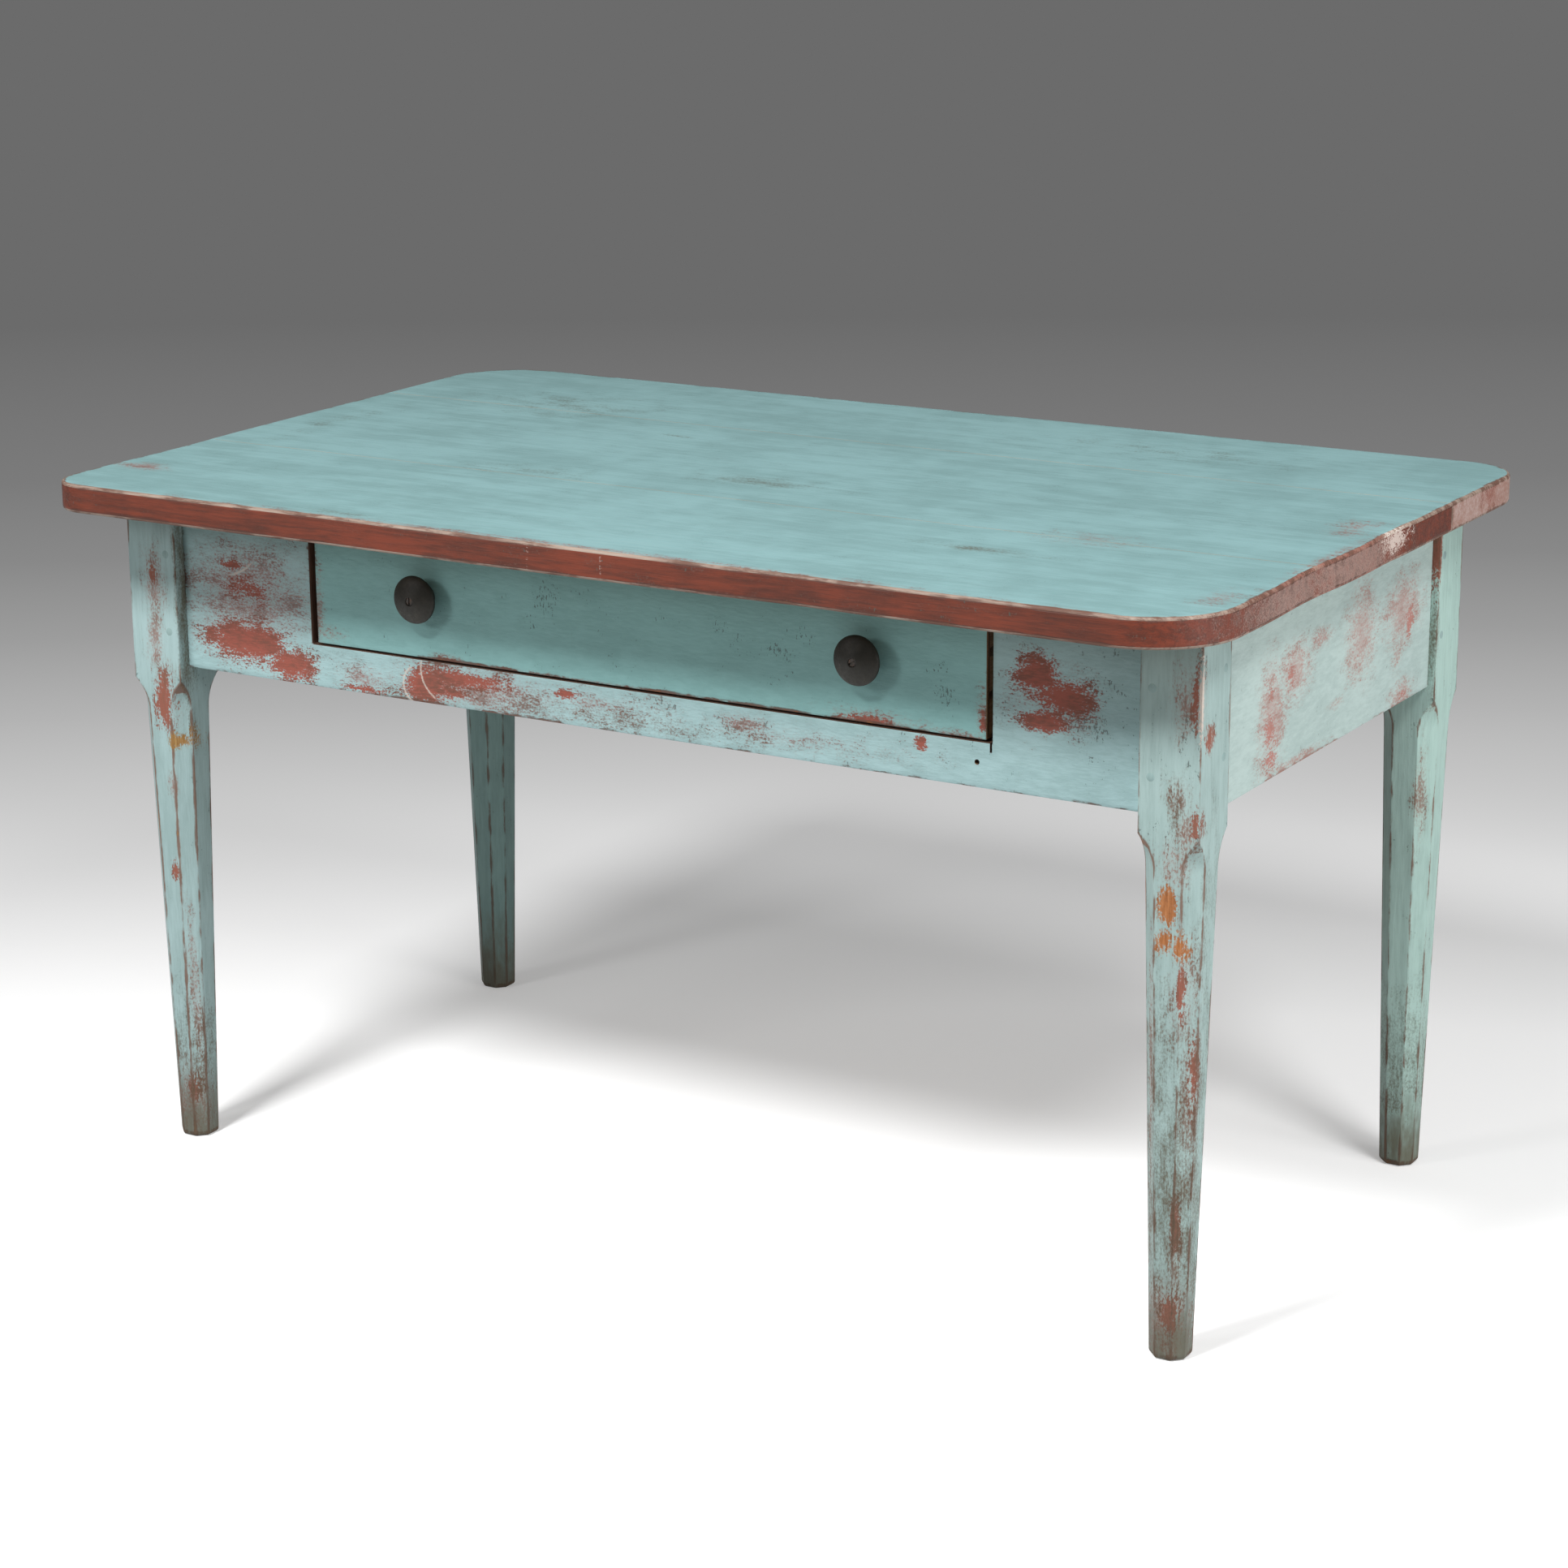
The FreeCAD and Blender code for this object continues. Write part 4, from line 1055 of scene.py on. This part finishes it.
def makeDrawerFront():
    low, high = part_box("drawer_front")
    piece = startBlock("drawerFront", low, high)
    finish = paintFinish("drawerPaint", "brushedX", drawerFront["edgeWear"], wear=drawerFront["wear"],
                         **drawerFront["tones"])
    giveFinishes(piece, [finish, finish, bareAlongX, endGrain])
    easeArrises(piece, drawerFront["arris"], drawerFront["arrisSteps"], arrisSlot)
    addWornBand(piece, drawerFront["wornBand"], arrisSlot, looksAlong((0, -1, 0)))
    # partly painted shade: the underside takes the dark end grain finish, for the shade in the gap above the
    # rail
    for way, slot in (((0, 1, 0), innerSlot), ((0, 0, 1), innerSlot),
                      ((0, 0, -1), endSlot), ((1, 0, 0), endSlot), ((-1, 0, 0), endSlot)):
        setSlot(piece, slot, looksAlong(way))
    leftInside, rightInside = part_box("drawer_side_left")[1].x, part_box("drawer_side_right")[0].x
    groove = startBlock("grooveWaste",
                        (leftInside, high.y - drawerFront["grooveDepth"], drawerFront["grooveLow"]),
                        (rightInside, high.y + drawerFront["groovePast"], drawerFront["grooveHigh"]))
    giveFinishes(groove, [finish, finish, bareAlongX])
    setSlot(groove, innerSlot)
    cutWith(piece, groove)
    for side in ("left", "right"):
        cutWith(piece, mergedCopy("drawer_side_" + side))
    smoothShade(piece)
    settle(piece, "drawer", "painted_wood", "drawer_front")


makeDrawerFront()
print("drawer front made")


# knobs: turned profile built up ring by ring, then subdivided

knob = {
    "ringPoints": 32, "divisions": 2,
    "profile": [  # out from the drawer front, radius
        (0.0, 0.014), (0.0004, 0.014), (0.002, 0.014), (0.0026, 0.0136), (0.0044, 0.0112),
        (0.007, 0.0104), (0.0092, 0.0127), (0.0112, 0.0178), (0.0124, 0.0218), (0.0145, 0.0247),
        (0.0168, 0.0253), (0.0191, 0.0244), (0.0212, 0.021), (0.0241, 0.0144), (0.026, 0.0082),
        (0.0267, 0.005), (0.0265, 0.0043), (0.0258, 0.0041), (0.0236, 0.0041),
    ],
    "tone": (0.02, 0.0187, 0.0145), "noiseDetail": 4.0,
    "worn": (0.05, 0.044, 0.035), "wornScale": 60.0, "wornRamp": (0.45, 0.75, 0.0, 0.6),
    "scuff": (0.02, 0.018, 0.015), "scuffScale": 420.0, "scuffRamp": (0.3, 0.75, 0.0, 0.35),
    "roughRamp": (0.3, 0.7, 0.42, 0.62), "specular": 0.25, "bump": 0.35, "bumpDepth": 0.0004,
}


def knobFinish():
    finish, tree, surface, place = startFinish("knobWood")
    worn = smoothStep(tree, noiseAt(tree, place, knob["wornScale"], knob["noiseDetail"]), *knob["wornRamp"])
    scuff = noiseAt(tree, place, knob["scuffScale"], knob["noiseDetail"])
    tone = mixColours(tree, worn, knob["tone"], knob["worn"])
    tone = mixColours(tree, smoothStep(tree, scuff, *knob["scuffRamp"]), tone, knob["scuff"])
    feed(tree, surface, {"Base Color": tone, "Roughness": smoothStep(tree, scuff, *knob["roughRamp"]),
                         "Specular IOR Level": knob["specular"]})
    addBump(tree, surface, scuff, knob)
    return finish


def makeKnobs():
    finish = knobFinish()
    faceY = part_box("drawer_front")[0].y
    for side in ("left", "right"):
        low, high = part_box("knob_" + side)
        middle = (low + high) / 2
        axle = (middle.x, faceY, middle.z)
        out, radius = knob["profile"][0]
        deselectAll()
        bpy.ops.mesh.primitive_circle_add(vertices=knob["ringPoints"], radius=radius, fill_type="NGON",
                                          location=axle, rotation=(math.pi / 2, 0, 0))
        piece = bpy.context.object
        piece.name = "knob" + side.capitalize()
        bpy.ops.object.transform_apply()
        pickFaces(piece)
        for nextOut, nextRadius in knob["profile"][1:]:
            bpy.ops.mesh.extrude_region_move(TRANSFORM_OT_translate={"value": (0, out - nextOut, 0)})
            shrink = nextRadius / radius
            bpy.ops.transform.resize(value=(shrink, 1, shrink), center_override=axle)
            out, radius = nextOut, nextRadius
        bpy.ops.mesh.select_all(action="SELECT")
        bpy.ops.mesh.normals_make_consistent(inside=False)
        leaveEdit()
        applyModifier(piece, "SUBSURF", levels=knob["divisions"], render_levels=knob["divisions"])
        giveFinishes(piece, [finish])
        activate(piece)
        bpy.ops.object.shade_smooth()
        settle(piece, "drawer", "knob_wood", "knob_" + side)


makeKnobs()
print("knobs made")


# floor, light and camera

stage = {
    "floorRadius": 40.0, "floorPoints": 96, "floorRoughness": 0.9, "floorSpecular": 0.1,
    "nearTone": 0.92, "bounceTone": 0.3, "glow": 0.27,
    "middle": (0.257, -0.429, 0.0), "sideways": 0.5,
    "farTones": [  # distance, grey
        (0.95, 1.0), (1.33, 0.82), (1.62, 0.7), (2.0, 0.577), (2.42, 0.45), (2.95, 0.332), (3.55, 0.247),
        (4.3, 0.198), (6.3, 0.147),
    ],
    "fadeStart": 1.4, "fadeEnd": 2.4,
    "lights": {  # place, size, power
        "left": ((-0.44, -2.92, 3.8), 1.0, 196.0),
        "right": ((2.38, -0.92, 3.3), 0.9, 59.0),
        "card": ((3.4, -0.4, 1.0), 2.0, 54.0),
        "front": ((-1.7, -2.9, 1.7), 0.9, 19.0),
    },
    "lightAim": (0, 0, 0.5), "worldLevel": 0.14, "backdropTone": 0.15,
}
camera = {
    "target": (-0.003, -0.006, 0.414),
    "azimuth": 30.9, "elevation": 15.96, "roll": -0.4,
    "distance": 4.063, "lens": 87.3, "sensor": 36,
}


def grey(tone):
    return tone, tone, tone


def seenRay(tree):
    # 1 for the rays that show the background: camera, mirror and glass
    path = addNode(tree, "ShaderNodeLightPath").outputs
    seen = calc(tree, "MAXIMUM", path["Is Camera Ray"], path["Is Glossy Ray"])
    return calc(tree, "MAXIMUM", seen, path["Is Transmission Ray"])


def addFloor():
    # white around the table, fading to a grey backdrop
    deselectAll()
    bpy.ops.mesh.primitive_circle_add(vertices=stage["floorPoints"], radius=stage["floorRadius"],
                                      fill_type="NGON")
    floor = bpy.context.object
    floor.name = "floor"
    finish, tree, surface, place = startFinish("paleFloor")
    seen = seenRay(tree)
    offset = vectorCalc(tree, "SUBTRACT", place, stage["middle"])
    turn = (0, 0, -math.radians(camera["azimuth"]))
    turned = addNode(tree, "ShaderNodeMapping", {"Vector": offset, "Rotation": turn}).outputs["Vector"]
    reach = vectorCalc(tree, "LENGTH", vectorCalc(tree, "MULTIPLY", turned, (stage["sideways"], 1, 1)))
    farthest = stage["farTones"][-1][0]
    ramp = addNode(tree, "ShaderNodeValToRGB", {"Fac": calc(tree, "DIVIDE", reach, farthest)})
    steps = ramp.color_ramp.elements
    while len(steps) < len(stage["farTones"]):
        steps.new(0.5)
    for step, (distance, tone) in zip(steps, stage["farTones"]):
        step.position = distance / farthest
        step.color = (*grey(tone), 1)
    far = ramp.outputs["Color"]
    shown = mixColours(tree, 1.0, far, grey(stage["nearTone"]), "MULTIPLY")
    feed(tree, surface, {"Base Color": mixColours(tree, seen, grey(stage["bounceTone"]), shown),
                         "Roughness": stage["floorRoughness"], "Specular IOR Level": stage["floorSpecular"],
                         "Emission Color": far,
                         "Emission Strength": calc(tree, "MULTIPLY", seen, stage["glow"])})
    backdrop = addNode(tree, "ShaderNodeEmission", {"Color": far, "Strength": 1.0})
    fade = calc(tree, "MULTIPLY", seen, smoothStep(tree, reach, stage["fadeStart"], stage["fadeEnd"]))
    mixed = addNode(tree, "ShaderNodeMixShader", {0: fade, 1: surface.outputs[0], 2: backdrop.outputs[0]})
    leave = next(node for node in tree.nodes if node.type == "OUTPUT_MATERIAL")
    tree.links.new(mixed.outputs[0], leave.inputs["Surface"])
    giveFinishes(floor, [finish])


def addLight(name, place, size, power):
    deselectAll()
    bpy.ops.object.light_add(type="AREA", location=place)
    lamp = bpy.context.object
    lamp.name = name
    lamp.data.shape = "DISK"
    lamp.data.size = size
    lamp.data.energy = power
    lamp.rotation_euler = (Vector(stage["lightAim"]) - Vector(place)).to_track_quat("-Z", "Y").to_euler()


def addWorld():
    world = bpy.data.worlds.new("studio")
    world.use_nodes = True
    tree = world.node_tree
    tree.nodes.clear()
    seen = seenRay(tree)
    soft = addNode(tree, "ShaderNodeBackground", {"Color": grey(1.0), "Strength": stage["worldLevel"]})
    backdrop = addNode(tree, "ShaderNodeBackground", {"Color": grey(stage["backdropTone"]), "Strength": 1.0})
    mixed = addNode(tree, "ShaderNodeMixShader", {0: seen, 1: soft.outputs[0], 2: backdrop.outputs[0]})
    leave = addNode(tree, "ShaderNodeOutputWorld")
    tree.links.new(mixed.outputs[0], leave.inputs["Surface"])
    bpy.context.scene.world = world


def addCamera():
    turn, rise = math.radians(camera["azimuth"]), math.radians(camera["elevation"])
    back = Vector((math.sin(turn) * math.cos(rise), -math.cos(turn) * math.cos(rise), math.sin(rise)))
    deselectAll()
    bpy.ops.object.camera_add(location=Vector(camera["target"]) + back * camera["distance"])
    eye = bpy.context.object
    eye.name = "photoCamera"
    eye.rotation_euler = (-back).to_track_quat("-Z", "Y").to_euler()
    eye.rotation_euler.rotate_axis("Z", math.radians(camera["roll"]))
    eye.data.lens = camera["lens"]
    eye.data.sensor_width = camera["sensor"]
    bpy.context.scene.camera = eye


addFloor()
for lightName, (lightPlace, lightSize, lightPower) in stage["lights"].items():
    addLight(lightName + "Light", lightPlace, lightSize, lightPower)
addWorld()
addCamera()
bpy.context.scene.view_settings.view_transform = "Standard"
print("stage set")
